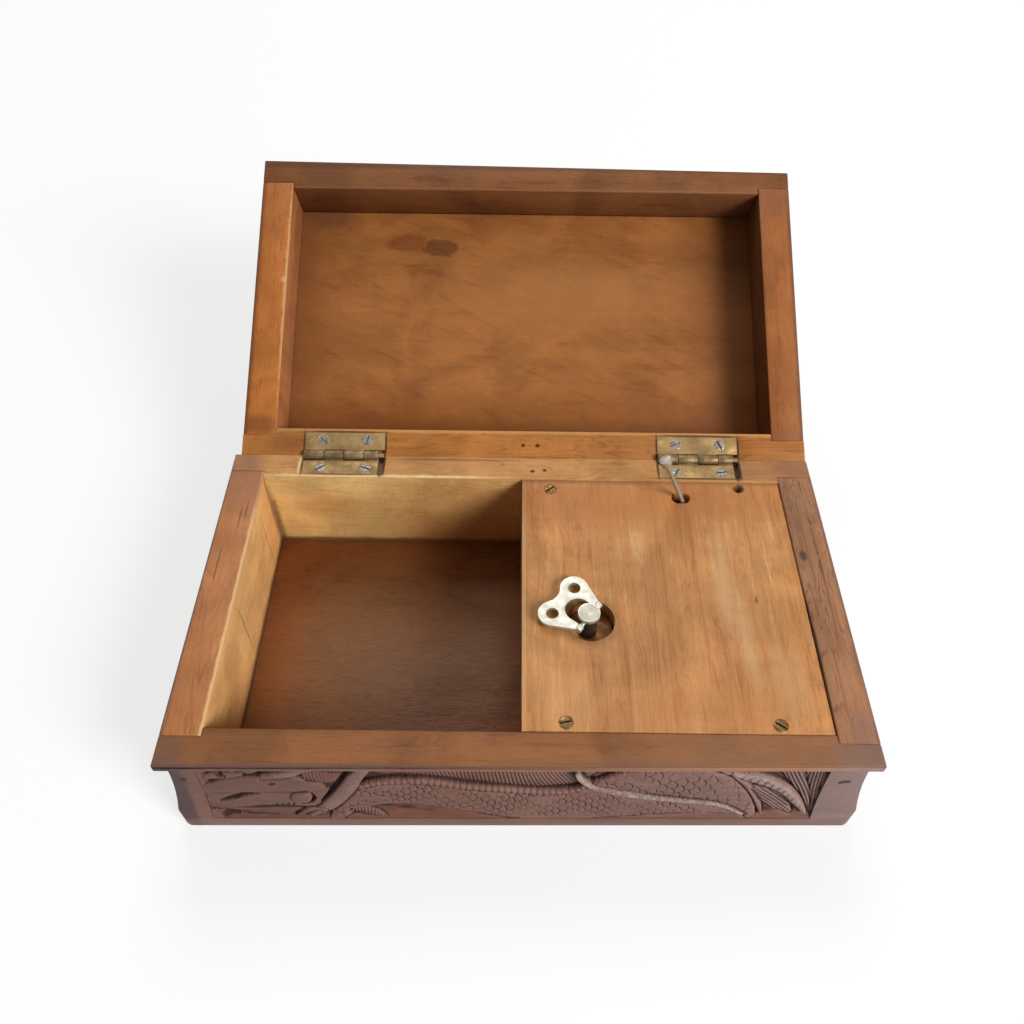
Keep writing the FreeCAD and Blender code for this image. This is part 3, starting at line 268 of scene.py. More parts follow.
    def seen(self) -> Socket:
        """Tell the rays that show a surface from those that it lights.

        Returns:
            A number socket, 1 for the rays that show it.
        """
        rays = self.add("LightPath").outputs
        through = self.math("MAXIMUM", rays["Is Glossy Ray"], rays["Is Transmission Ray"])
        return self.math("MAXIMUM", rays["Is Camera Ray"], through)


@dataclass(frozen=True)
class Mark:
    """A soft stain, streak, hole, worn place or patch of painted shade on a board."""

    centre: Point
    reach: Point
    colour: Colour
    strength: float = 0.7
    soft: float = 0.5
    ragged: float = 0.35

    def lay(self, graph: Graph, spot: Socket, ragged: Socket, base: Socket) -> Socket:
        """Mix this mark over a colour.

        Args:
            graph: The material being made.
            spot: The place in millimetres.
            ragged: A noise that breaks up the mark's edge.
            base: The colour under it.

        Returns:
            The new colour.
        """
        away = graph.vector("SUBTRACT", spot, self.centre)
        away = graph.vector("MULTIPLY", away, tuple(1.0 / length for length in self.reach))
        span = graph.add("VectorMath", {0: away}, operation="LENGTH").outputs["Value"]
        span = graph.math("ADD", span, graph.sway(ragged, 2.0 * self.ragged))
        cover = graph.band(span, 1.0 - self.soft, 1.0 + self.soft, self.strength, 0.0)
        return graph.mix(cover, base, self.colour)


Marks = Tuple[Mark, ...]


def level_marks(level: float, *rows: Sequence[object]) -> Marks:
    """Make marks on a level face from rows of x, y and what else a mark has."""
    return tuple(Mark((x, y, level), *rest) for x, y, *rest in rows)


@dataclass(frozen=True)
class WoodFinish:
    """Stained and worn hardwood, with fibres, growth rings and pores."""

    name: str
    pale: Colour
    mid: Colour
    dark: Colour
    grain: Grain
    part: Part = Part.CASE
    figure: float = 0.35
    streaks: float = 0.45
    saw: float = 0.0
    ring: float = 6.0
    pores: float = 0.3
    specks: float = 0.4
    fleck: float = 1.6
    rough: float = 0.5
    shine: float = 0.15
    grime: float = 0.22
    twist: float = 0.6
    slant: float = 0.0
    marks: Marks = ()

    def cell(self, along: float, across: float) -> Point:
        """Give a noise cell's size along each axis from its size along and across the fibres."""
        return tuple(along if axis == self.grain.value else across for axis in range(3))

    def make(self) -> Material:
        """Make the material.

        Returns:
            The material.
        """
        graph = Graph(bpy.data.materials.new(self.name))
        spot = graph.place(self.part)
        turned = graph.turn(spot, "Z_AXIS", (0.0, 0.0, 0.0), self.slant)
        rings = graph.noise(turned, self.cell(self.ring * 9.0, self.ring), 2.0, 0.4, self.twist)
        fibre = graph.noise(spot, self.cell(14.0, 0.5), 3.0, 0.65)
        streak = graph.noise(spot, self.cell(55.0, 2.6), 3.0, 0.6, 0.4)
        cloud = graph.noise(spot, self.cell(34.0, 15.0), 5.0, 0.62, 0.5)
        pore = graph.noise(spot, self.cell(3.6, 0.22), 1.0, 0.5)
        speck = graph.noise(spot, self.cell(self.fleck, 1.6), 4.0, 0.75, 0.3)
        grime = graph.noise(spot, (26.0, 26.0, 26.0), 4.0, 0.6, 0.8)
        line = graph.band(graph.math("SINE", graph.math("MULTIPLY", rings, 55.0)), 0.55, 1.0)
        tone = graph.math("MULTIPLY", line, -0.2 * self.figure)
        shares = [(cloud, 0.75), (streak, self.streaks), (fibre, 0.3)]
        if self.saw > 0.0:
            shares.append((graph.noise(spot, self.cell(0.7, 22.0), 3.0, 0.6, 0.5), self.saw))
        for noise, share in shares:
            tone = graph.math("ADD", tone, graph.sway(noise, share))
        colour = graph.mix(graph.band(tone, -0.3, 0.0), self.dark, self.mid)
        colour = graph.mix(graph.band(tone, 0.0, 0.3), colour, self.pale)
        hole = graph.band(pore, 0.31, 0.37, self.pores, 0.0)
        colour = graph.mix(hole, colour, dirty(self.dark))
        colour = graph.mix(graph.band(speck, 0.27, 0.33, self.specks, 0.0), colour, dirty(self.dark))
        colour = graph.mix(graph.band(speck, 0.68, 0.76, 0.0, 0.5 * self.specks), colour, self.pale)
        colour = graph.tint(colour, graph.band(grime, 0.32, 0.68, 1.0 - self.grime, 1.0 + 0.4 * self.grime))
        ragged = graph.noise(spot, (4.0, 4.0, 4.0), 4.0, 0.65)
        for mark in self.marks:
            colour = mark.lay(graph, spot, ragged, colour)
        rough = graph.band(graph.math("ADD", fibre, cloud), 0.7, 1.3, self.rough - 0.1, self.rough + 0.12)
        height = graph.math("ADD", fibre, graph.math("MULTIPLY", graph.math("ADD", hole, streak), -0.8))
        normal = graph.bump(graph.math("ADD", grime, speck), 0.3, 0.6, graph.bump(height, 0.4, 0.15))
        return graph.shade(colour, rough, normal, Specular_IOR_Level=self.shine)


@dataclass(frozen=True)
class CarvedFinish:
    """Dark stained carving whose hollows hold dirt and painted shade and whose crests are rubbed pale."""

    name: str
    stain: Colour
    rubbed: Colour
    ground: Colour
    # Dirt in the fine cuts and painted shade over the broad hollows.
    dirt: Colour
    bloom: Colour
    right_end_tone: Colour
    scuffed: Colour

    def make(self) -> Material:
        """Make the material, which reads the relief's own attributes.

        Returns:
            The material.
        """
        graph = Graph(bpy.data.materials.new(self.name))
        spot = graph.place(Part.CASE)
        crest, hollow, bare, worn = (graph.add("Attribute", attribute_name=name).outputs["Fac"]
                                     for name in ("crest", "hollow", "bare", "worn"))
        cloud = graph.noise(spot, (16.0, 16.0, 9.0), 4.0, 0.6)
        speck = graph.noise(spot, (0.9, 0.9, 0.9), 3.0, 0.7)
        fibre = graph.noise(spot, (9.0, 0.5, 0.5), 3.0, 0.6)
        side = graph.add("SeparateXYZ", {0: spot}).outputs["X"]
        colour = graph.mix(graph.band(cloud, 0.35, 0.7), self.stain, self.bloom)
        # Paler and greyer towards the right end.
        colour = graph.mix(graph.band(side, -10.0, 90.0, 0.0, 0.8), colour, self.right_end_tone)
        colour = graph.mix(graph.math("MULTIPLY", bare, 0.8), colour, self.ground)
        rub = graph.math("MULTIPLY", graph.band(crest, 0.4, 1.0), graph.band(speck, 0.35, 0.65))
        colour = graph.mix(graph.math("MULTIPLY", rub, 0.6), colour, self.rubbed)
        broken = graph.band(graph.math("ADD", speck, cloud), 0.85, 1.15, 0.1, 0.95)
        colour = graph.mix(graph.math("MULTIPLY", worn, broken), colour, self.scuffed)
        # Darken the hollows: dirt in the fine cuts, painted shade over the broad ones.
        grime = graph.math("MULTIPLY", graph.band(hollow, 0.08, 0.7), graph.band(speck, 0.2, 0.5, 0.75, 1.0))
        colour = graph.mix(graph.math("MULTIPLY", grime, 0.88), colour, self.dirt)
        colour = graph.tint(colour, graph.band(fibre, 0.3, 0.7, 0.85, 1.12))
        colour = graph.tint(colour, graph.band(side, -90.0, 15.0, 0.8, 1.04))
        normal = graph.bump(speck, 0.3, 0.12, graph.bump(fibre, 0.25, 0.1))
        rough = graph.band(cloud, 0.3, 0.7, 0.45, 0.6)
        return graph.shade(colour, rough, normal, Specular_IOR_Level=0.2)


@dataclass(frozen=True)
class MetalFinish:
    """Bare or plated metal with tarnish, scratches and small pits."""

    name: str
    bright: Colour
    tarnish: Colour
    rough: float
    spread: float = 0.5
    cell: float = 2.5
    metal: float = 1.0
    pits: float = 0.3
    dents: float = 1.0

    def make(self) -> Material:
        """Make the material.

        Returns:
            The material.
        """
        graph = Graph(bpy.data.materials.new(self.name))
        spot = graph.place(Part.CASE)
        patch = graph.noise(spot, (self.cell, self.cell, self.cell), 5.0, 0.65)
        scratch = graph.noise(spot, (6.0, 0.25, 0.25), 2.0, 0.6, 0.4)
        pit = graph.noise(spot, (0.35, 0.35, 0.35), 2.0, 0.6)
        cover = graph.band(patch, self.spread - 0.18, self.spread + 0.18)
        colour = graph.mix(cover, self.bright, self.tarnish)
        colour = graph.mix(graph.band(pit, 0.30, 0.40, self.pits, 0.0), colour, dirty(self.tarnish))
        rough = graph.math("ADD", graph.band(patch, 0.25, 0.75, self.rough - 0.08, self.rough + 0.2),
                           graph.band(scratch, 0.3, 0.7, -0.05, 0.08))
        normal = graph.bump(pit, 0.2 * self.dents, 0.05, graph.bump(scratch, 0.12 * self.dents, 0.04))
        return graph.shade(colour, rough, normal, Metallic=self.metal)


def clear_choice() -> None:
    """Leave edit mode and deselect everything."""
    if bpy.context.object is not None and bpy.context.object.mode != "OBJECT":
        bpy.ops.object.mode_set(mode="OBJECT")
    bpy.ops.object.select_all(action="DESELECT")


def choose(piece: Piece) -> None:
    """Select one piece alone and make it active.

    Args:
        piece: The piece.
    """
    clear_choice()
    piece.select_set(True)
    bpy.context.view_layer.objects.active = piece


def apply_modifier(piece: Piece, kind: str, **values: object) -> None:
    """Add a modifier to a piece, set it and apply it.

    Args:
        piece: The piece.
        kind: The modifier's type.
        values: Its settings.
    """
    choose(piece)
    modifier = piece.modifiers.new(kind.lower(), kind)
    for name, value in values.items():
        setattr(modifier, name, value)
    bpy.ops.object.modifier_apply(modifier=modifier.name)


def ease_edges(piece: Piece, width: float, turns: int = 2, angle: float = 40.0) -> None:
    """Round a piece's sharp edges.

    Args:
        piece: The piece.
        width: The rounding's width in millimetres.
        turns: How many faces a rounding has.
        angle: Edges that turn by less stay as they are, in degrees.
    """
    apply_modifier(piece, "BEVEL", width=width * MM, segments=turns, limit_method="ANGLE",
                   angle_limit=math.radians(angle), use_clamp_overlap=True)


def smooth(piece: Piece, angle: float = 38.0) -> None:
    """Shade a piece smooth across its shallow edges."""
    choose(piece)
    bpy.ops.object.shade_smooth_by_angle(angle=math.radians(angle))


def copy_node(node: str, name: str) -> Piece:
    """Copy a CAD node's mesh to a new piece, merged and with its flat faces joined.

    The strips of the hollow mouldings stay apart, because joined they would bridge the hollow.

    Args:
        node: The CAD node.
        name: The new piece's name.

    Returns:
        The new piece.
    """
    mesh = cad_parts[node].data.copy()
    mesh.materials.clear()
    piece = bpy.data.objects.new(name, mesh)
    bpy.context.scene.collection.objects.link(piece)
    choose(piece)
    bpy.ops.object.mode_set(mode="EDIT")
    bpy.ops.mesh.select_mode(type="FACE")
    bpy.ops.mesh.select_all(action="SELECT")
    bpy.ops.mesh.remove_doubles(threshold=MERGE)
    bpy.ops.object.mode_set(mode="OBJECT")
    for face in mesh.polygons:
        hollow = LEAST_TILT < abs(face.normal.z) < MOST_TILT and abs(face.normal.x) <= MOST_TILT
        face.select = not hollow
    bpy.ops.object.mode_set(mode="EDIT")
    bpy.ops.mesh.dissolve_limited(angle_limit=math.radians(FLAT_ANGLE))
    bpy.ops.mesh.select_all(action="DESELECT")
    bpy.ops.object.mode_set(mode="OBJECT")
    return piece


def select_faces(piece: Piece, where: Callable[[bpy.types.MeshPolygon], bool]) -> None:
    """Select some faces of a piece and go to edit mode.

    Args:
        piece: The piece.
        where: The test that the faces pass.
    """
    choose(piece)
    bpy.ops.object.mode_set(mode="EDIT")
    bpy.ops.mesh.select_mode(type="FACE")
    bpy.ops.mesh.select_all(action="DESELECT")
    bpy.ops.object.mode_set(mode="OBJECT")
    for face in piece.data.polygons:
        face.select = where(face)
    bpy.ops.object.mode_set(mode="EDIT")


def read(items: bpy.types.bpy_prop_collection, name: str) -> np.ndarray:
    """Read a vector of each point or face of a mesh.

    Args:
        items: The points or faces.
        name: The vector's name.

    Returns:
        The vectors, one row each.
    """
    values = np.zeros(len(items) * 3)
    items.foreach_get(name, values)
    return values.reshape(-1, 3)


def paint(piece: Piece, material: Material, where: Optional[Chooser] = None) -> None:
    """Give a piece, or some of its faces, a material.

    Args:
        piece: The piece.
        material: The material.
        where: Tells which faces take it, from their centres in millimetres and normals.
    """
    mesh = piece.data
    mesh.materials.append(material)
    index = len(mesh.materials) - 1
    which = np.zeros(len(mesh.polygons), dtype=np.int32)
    mesh.polygons.foreach_get("material_index", which)
    if where is None:
        which[:] = index
    else:
        which[where(read(mesh.polygons, "center") / MM, read(mesh.polygons, "normal"))] = index
    mesh.polygons.foreach_set("material_index", which)
    mesh.update()


def settle(piece: Piece, body: str, nodes: Sequence[str] = ()) -> None:
    """Hand a finished piece to the frame.

    Args:
        piece: The piece.
        body: The body that it rides on.
        nodes: The CAD nodes that it stands for.
    """
    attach(piece, body)
    if nodes:
        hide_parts(*nodes)
    log.info("%s rides on %s, %d faces", piece.name, body, len(piece.data.polygons))


@dataclass
class Board:
    """A board or plate of the frame with eased edges."""

    node: str
    body: str
    slot: str
    edge: float = 0.35
    turns: int = 2
    short: float = 0.0

    def build(self, finish: Material) -> Piece:
        """Copy the node, cut its right end short, ease its edges and give it a finish.

        Args:
            finish: The material of the whole piece.

        Returns:
            The piece, which already stands for its node.
        """
        piece = copy_node(self.node, self.node + "_eased")
        end = max(point.co.x for point in piece.data.vertices) - END_DEPTH * MM
        for point in piece.data.vertices:
            if point.co.x > end:
                point.co.x -= self.short * MM
        ease_edges(piece, self.edge, self.turns)
        smooth(piece)
        paint(piece, finish)
        settle(piece, self.body, (self.node,))
        return piece


@dataclass(frozen=True)
class Stroke:
    """One carved form that follows a line on the front, in millimetres."""

    path: Sequence[Flat]
    widths: Sequence[float]
    crest: float
    rim: float
    carving: Carving = Carving.SMOOTH
    pitch: float = 3.0
    cut: float = 0.35
    worn: float = 0.0
    edge: float = 0.5


@dataclass
class CarvedFront:
    """The front board with its dragon, carved in a sunk field between plain corner posts."""

    edge: float = 0.4
    left: float = -82.4
    right: float = 79.4
    low: float = 5.15
    high: float = 32.7
    neck_y: float = 50.75
    neck_z: float = 33.0
    sweep: float = 793.0 / 6.0
    front_y: float = 52.75
    skew: float = 0.69
    depth: float = 1.7
    columns: int = 760
    rows: int = 126
    behind_y: float = -45.5
    stain_top: float = 35.3
    stain_y: float = -48.0
    end_x: float = 86.0
    bottom_bank: Flat = (0.9, 2.2)
    left_bank: Flat = (1.5, 2.6)
    limits: Flat = (-0.6, 2.4)
    margin: float = 2.5
    outline: float = 0.4
    fade: float = 1.9
    proud: float = 0.3
    near_blur: int = 3
    wide_blur: int = 14
    strokes: List[Stroke] = field(default_factory=list)

    def add(self, path: Sequence[Flat], widths: Sequence[float], crest: float, rim: float,
            *worked: object, **named: float) -> None:
        """Add a stroke that lies over the earlier ones."""
        self.strokes.append(Stroke(path, widths, crest, rim, *worked, **named))

    def draw(self) -> None:
        """Lay out the dragon from its tail to its head."""
        self.add([(-30, 29.5), (-10, 28.5), (10, 28.5), (26, 30), (44, 30.5), (60, 29.5)],
                 (1, 1.8, 1.8, 1.6, 1.8, 0.8), 0.8, 0.5, Carving.BEADS, 1.9)
        self.add([(-32, 26.6), (-18, 25.8), (-6, 23.4), (4, 22), (14, 23.4), (19, 26)],
                 (1.2, 2.6, 3.4, 3.6, 3.2, 1), 0.5, 0.2, Carving.CROSS_CUTS, 1.05, 0.32)
        self.add([(19, 21), (27, 22.2), (36, 21.6), (46, 20.4), (54, 17.4), (59.5, 12.4), (62.5, 7.2)],
                 (0.8, 4.4, 6, 7.4, 6, 4.2, 1.8), 1.7, 0.9, Carving.SCALES, 3.7, 0.52)
        self.add([(52, 28.5), (57, 24), (61.5, 17.5), (64.2, 11.5), (65.5, 7.4)],
                 (0.5, 0.8, 0.9, 0.8, 0.4), 1.8, 1.1)
        self.add([(62, 18.6), (66.5, 14.6), (70.2, 11), (73.6, 7.4)],
                 (1, 3, 2.9, 0.6), 1.2, 0.5, Carving.LONG_CUTS, 0.95, 0.5)
        self.add([(76.4, 28.5), (77.2, 20), (78.2, 13), (78.8, 8)],
                 (2.6, 2.4, 1.5, 0.5), 1, 0.5, Carving.LONG_CUTS, 0.9, 0.5)
        self.add([(69.5, 29), (72.6, 22.5), (75.4, 16.6), (78, 10)],
                 (2.8, 2.2, 1.5, 0.5), 1.1, 0.5, Carving.LONG_CUTS, 0.95, 0.5)
        self.add([(55, 26.6), (60.4, 24.4), (66, 21.4), (70.6, 17.4), (74.2, 12.6), (77.2, 8)],
                 (0.8, 2, 2.1, 1.9, 1.6, 0.7), 1.8, 0.9, Carving.BEADS, 2.4, worn=0.45)
        self.add([(-49.6, 5.4), (-46.2, 9.4), (-41.2, 14.6), (-33.6, 16.6), (-25, 16.4), (-15, 14.2),
                  (-4, 12.2), (8, 11.4), (19, 11.9), (29, 11.2), (40, 10.5), (50, 9.8), (57, 8.6), (61, 7.2)],
                 (1.3, 3.2, 5, 5.2, 5.6, 5.9, 6.4, 6.3, 6.7, 5.3, 3.6, 2.4, 1.5, 0.4),
                 1.75, 1, Carving.SCALES, 2.8, 0.5)
        self.add([(-44.6, 17.4), (-41.4, 20), (-34.6, 22.2), (-25.4, 22.4), (-16.2, 20.2), (-10, 19),
                  (0.4, 17.6), (8, 17), (14, 18), (17.6, 20.6)],
                 (0.4, 0.8, 0.9, 0.95, 0.95, 0.9, 0.9, 0.85, 0.7, 0.45), 1.85, 1.3,
                 Carving.CROSS_CUTS, 1.7, 0.34)
        self.add([(14.8, 27), (16.2, 23.6), (20.4, 19.3), (26.6, 16.9), (33.6, 15.1), (46.6, 12.9),
                  (53.6, 11.4), (60.4, 7.3)],
                 (0.7, 0.85, 0.95, 0.95, 0.9, 0.8, 0.7, 0.35), 2.1, 1.5, worn=0.95)
        self.add([(-44.2, 8.2), (-40.4, 7.4), (-36, 5.8)], (1.2, 1.3, 0.5), 0.9, 0.4, Carving.CROSS_CUTS, 0.9)
        self.draw_head()
        self.add([(-39.6, 29), (-42.4, 24.4), (-45.1, 18.6), (-48.8, 12.9), (-52.6, 8.8), (-55.6, 6.4)],
                 (1.7, 2.1, 2.3, 2.2, 1.7, 0.7), 1.9, 1.25, worn=0.2, edge=0.35)
        self.add([(-52, 8.8), (-56.2, 8.5), (-59.6, 6.4)], (1, 0.9, 0.3), 1.7, 1.1)
        self.add([(-53.8, 7.8), (-56.6, 6.4)], (0.8, 0.4), 1.6, 1.1)

    def draw_head(self) -> None:
        """Lay out the dragon's head in low relief, with its mane, its jaw and the cuts of its mouth."""
        self.add([(-81, 12.5), (-72, 13.5), (-62, 13.5), (-52, 13)], (4, 7, 7.4, 5), 1.3, 0.5, edge=0.2)
        self.add([(-81.6, 18.6), (-75, 20.2), (-67, 20.8), (-58, 20.8), (-52, 19.6)],
                 (2.2, 3.4, 4, 3.6, 1.4), 1.75, 1.2, edge=0)
        self.add([(-80.4, 24.6), (-74, 25.6), (-68, 28)], (1.2, 1.5, 1), 1.45, 0.9, edge=0.15)
        self.add([(-54, 24.4), (-50, 23.6), (-46, 24.2)], (2.2, 2.4, 1.6), 1.2, 0.8,
                 Carving.CROSS_CUTS, 0.95, 0.3, edge=0.1)
        self.add([(-66, 24.4), (-60, 25.6), (-54.6, 28.6)], (1, 1.5, 1.2), 1.55, 1, worn=0.3, edge=0.15)
        self.add([(-58, 14.3), (-56.8, 14.3)], (2.4, 2.4), 1.95, 1.15, edge=0.1)
        for path, widths in (
                (((-79.2, 12.9), (-75.6, 14.4), (-72.4, 15.8), (-68.4, 16.4)), (0.45, 1, 0.95, 0.3)),
                (((-78.2, 27.4), (-77, 26), (-75.8, 25.4)), (1.2, 1.2, 0.6)),
                (((-71.4, 27), (-69.8, 25.8), (-67.8, 25)), (1.2, 1.1, 0.5)),
                (((-64.8, 21.6), (-63.4, 22)), (0.5, 0.35)),
                (((-79, 6.2), (-77.4, 7), (-75.4, 6.6)), (1, 1, 0.4))):
            self.add(path, widths, -0.3, 0.7)
        self.add([(-54.6, 16.4), (-54.2, 14.2), (-55.6, 12.2), (-58.2, 11.3)],
                 (0.25, 0.6, 0.5, 0.25), -0.1, 0.8)
        self.add([(-75, 8.9), (-69, 9.3), (-62, 9.6), (-55, 9)], (0.6, 1.3, 1.4, 0.5), 0.35, 1.1)
        self.add([(-60.5, 10.6), (-56, 9.4), (-51, 9.6)], (0.2, 0.4, 0.2), 0.4, 0.9)
        self.add([(-42.6, 28.5), (-46, 23.4), (-48.9, 17.8), (-52.6, 12.2)], (1.1, 0.9, 0.7, 0.4), -0.3, 0.6)
        for number in range(4):
            start = -64.6 + 1.5 * number
            self.add([(start, 11.6), (start + 0.3, 9.4)], (0.3, 0.2), 0.7, 1)

    def follow(self, stroke: Stroke, spots: np.ndarray) -> Tuple[np.ndarray, ...]:
        """Measure spots along and across a stroke.

        Args:
            stroke: The stroke.
            spots: Places on the front, one row each.

        Returns:
            Length along the line, distance across it, half width there, and share of the half width.
        """
        path = np.array(stroke.path, dtype=float)
        ends = np.vstack([2 * path[0] - path[1], path, 2 * path[-1] - path[-2]])
        line = []
        wide = []
        knots = np.interp(np.linspace(0, 1, len(path)), np.linspace(0, 1, len(stroke.widths)), stroke.widths)
        for number in range(len(path) - 1):
            a, b, c, d = ends[number:number + 4]
            steps = max(4, int(np.linalg.norm(c - b) / 0.5))
            for share in np.arange(steps) / steps:
                line.append(0.5 * (2 * b + (c - a) * share + (2 * a - 5 * b + 4 * c - d) * share ** 2
                                   + (3 * b - a - 3 * c + d) * share ** 3))
                wide.append(knots[number] + (knots[number + 1] - knots[number]) * share)
        line.append(path[-1])
        wide.append(knots[-1])
        line = np.array(line)
        wide = np.array(wide)
        run = np.concatenate([[0.0], np.cumsum(np.linalg.norm(np.diff(line, axis=0), axis=1))])
        along = np.gradient(line, axis=0)
        along /= np.linalg.norm(along, axis=1)[:, None]
        gaps = (spots[:, None, 0] - line[None, :, 0]) ** 2 + (spots[:, None, 1] - line[None, :, 1]) ** 2
        near = gaps.argmin(axis=1)
        step = spots - line[near]
        ahead = (step * along[near]).sum(axis=1)
        aside = along[near, 0] * step[:, 1] - along[near, 1] * step[:, 0]
        half = wide[near]
        capped = ((near == 0) & (ahead < 0)) | ((near == len(line) - 1) & (ahead > 0))
        share = np.where(capped, np.hypot(ahead, aside), np.abs(aside)) / half
        return run[near] + ahead, aside, half, share

    @staticmethod
    def scales(run: np.ndarray, aside: np.ndarray, pitch: float) -> np.ndarray:
        """Give the height of overlapping scales.

        Args:
            run: Length along the stroke's line.
            aside: Distance across it.
            pitch: The scales' width.

        Returns:
            Heights, up to 1 at the tips and below 0 in the cuts.
        """
        apart, length, half = 0.62 * pitch, 0.72 * pitch, 0.54 * pitch
        height = np.zeros_like(run)
        row = np.floor(run / apart)
        for back in (1, 0, -1, -2):
            number = row + back
            middle = (number + 0.5) * apart
            offset = np.where(number % 2 == 0, 0.0, 0.5) * pitch
            lane = np.round((aside - offset) / pitch) * pitch + offset
            ahead = (run - middle) / length
            gone = np.hypot(ahead, (aside - lane) / half)
            lift = 0.6 + 0.4 * ahead - 0.8 * np.clip(gone - 0.82, 0.0, 1.0)
            cut = np.where(ahead > -0.25, 0.75 * np.exp(-((gone - 1.0) / 0.13) ** 2), 0.0)
            height = np.where(gone < 1.0, lift, height - cut)
        return np.clip(height, -0.9, 1.0)

    def form(self, stroke: Stroke, run: np.ndarray, aside: np.ndarray,
             half: np.ndarray, share: np.ndarray) -> np.ndarray:
        """Give a stroke's height where it covers the front.

        Args:
            stroke: The stroke.
            run: Length along its line.
            aside: Distance across its line.
            half: Its half width.
            share: Distance across as a share of the half width.

        Returns:
            Heights over the sunk ground, in millimetres.
        """
        dome = np.sqrt(np.clip(1.0 - share ** 2, 0.0, 1.0))
        height = stroke.rim + (stroke.crest - stroke.rim) * dome
        if stroke.carving is Carving.SCALES:
            drift = np.sin(0.37 * run + 1.3 * np.sin(0.8 * aside)) * np.sin(0.53 * aside + 0.11 * run)
            height += stroke.cut * (0.58 + 0.42 * drift) * (self.scales(run, aside, stroke.pitch) - 0.7)
        elif stroke.carving is Carving.BEADS:
            ahead = (run % stroke.pitch) - 0.5 * stroke.pitch
            size = 0.36 * stroke.pitch
            bead = np.sqrt(np.clip(1.0 - (ahead / size) ** 2 - (share / 0.62) ** 2, 0.0, 1.0))
            height += 0.55 * bead - 0.35 * np.exp(-((share - 0.74) / 0.1) ** 2)
        elif stroke.carving is Carving.CROSS_CUTS:
            height -= stroke.cut * (0.5 + 0.5 * np.cos(2 * np.pi * (run + 0.35 * aside) / stroke.pitch)) ** 2
        elif stroke.carving is Carving.LONG_CUTS:
            height -= stroke.cut * (0.5 + 0.5 * np.cos(2 * np.pi * aside / stroke.pitch)) ** 2
        return height

    def relief(self, spots: np.ndarray) -> Tuple[np.ndarray, np.ndarray, np.ndarray]:
        """Work out the carving.

        Args:
            spots: Places on the front in millimetres, one row each.

        Returns:
            Heights over the ground, 1 where the ground is bare, and how worn each place is.
        """
        wave = 0.10 * np.sin(0.9 * spots[:, 0] + 1.7 * np.sin(0.35 * spots[:, 1]))
        height = wave + 0.08 * np.sin(2.1 * spots[:, 1] + 0.4 * spots[:, 0])
        for away, (tall, wide) in ((spots[:, 1] - self.low, self.bottom_bank),
                                   (spots[:, 0] - self.left, self.left_bank)):
            height += tall * np.exp(-(away / wide) ** 2)
        bare = np.ones(len(spots))
        worn = np.zeros(len(spots))
        for stroke in self.strokes:
            path = np.array(stroke.path)
            reach = max(stroke.widths) + self.margin
            low = path.min(axis=0) - reach
            high = path.max(axis=0) + reach
            near = np.nonzero(((spots >= low) & (spots <= high)).all(axis=1))[0]
            run, aside, half, share = self.follow(stroke, spots[near])
            gap = (share - 1.0) * half
            inside = share < 1.0
            sunk = stroke.crest < stroke.rim
            deep = 0.0 if sunk else stroke.edge
            height[near] -= np.where(inside, 0.0, deep * np.exp(-(gap / self.outline) ** 2))
            form = self.form(stroke, run[inside], aside[inside], half[inside], share[inside])
            held = near[inside]
            height[held] = np.minimum(height[held], form) if sunk else form
            bare[held] = 0.0
            worn[held] = stroke.worn * np.clip(1.3 - share[inside], 0.0, 1.0)
        return np.clip(height, *self.limits), bare, worn

    def surface(self, height: np.ndarray) -> Tuple[np.ndarray, np.ndarray, np.ndarray]:
        """Give the hollow moulding's places and outward slopes at heights above the table.

        Args:
            height: Heights in millimetres.

        Returns:
            Y places, and the Y and Z parts of the normals.
        """
        drop = self.neck_z - height
        rise = np.sqrt(self.sweep ** 2 - drop ** 2)
        return -(self.neck_y + self.sweep - rise), -rise / self.sweep, drop / self.sweep

    def build_field(self) -> Piece:
        """Model the carved field from a fine grid.

        Returns:
            The field.
        """
        clear_choice()
        bpy.ops.mesh.primitive_grid_add(x_subdivisions=self.columns, y_subdivisions=self.rows, size=2.0)
        piece = bpy.context.object
        piece.name = "front_carving"
        mesh = piece.data
        count = len(mesh.vertices)
        flat = read(mesh.vertices, "co")
        spots = np.empty((count, 2))
        spots[:, 0] = self.left + (self.right - self.left) * 0.5 * (flat[:, 0] + 1.0)
        spots[:, 1] = self.low + (self.high - self.low) * 0.5 * (flat[:, 1] + 1.0)
        height, bare, worn = self.relief(spots)
        border = np.minimum.reduce([spots[:, 0] - self.left, self.right - spots[:, 0],
                                    spots[:, 1] - self.low, self.high - spots[:, 1]])
        rim = border < 0.01
        rise = np.clip((spots[:, 1] - self.low) / self.fade, 0.0, 1.0) ** 0.7
        sunk = np.where(rim, 0.0, np.minimum(height - self.depth, self.proud) * rise)
        at_y, slope_y, slope_z = self.surface(spots[:, 1])
        place = np.empty((count, 3))
        place[:, 0] = spots[:, 0]
        place[:, 1] = at_y + sunk * slope_y
        place[:, 2] = spots[:, 1] + sunk * slope_z
        turn = math.radians(self.skew)
        spin = np.array([[math.cos(turn), -math.sin(turn)], [math.sin(turn), math.cos(turn)]])
        pivot = np.array([0.0, -self.front_y])
        place[:, :2] = (place[:, :2] - pivot) @ spin.T + pivot
        mesh.vertices.foreach_set("co", (place * MM).ravel())
        order = np.lexsort((np.round(flat[:, 0], 5), np.round(flat[:, 1], 5)))
        sheet = np.where(rim, 0.0, height)[order].reshape(self.rows + 1, self.columns + 1)
        blur = self.blur(sheet, self.near_blur)
        mean = self.blur(sheet, self.wide_blur)
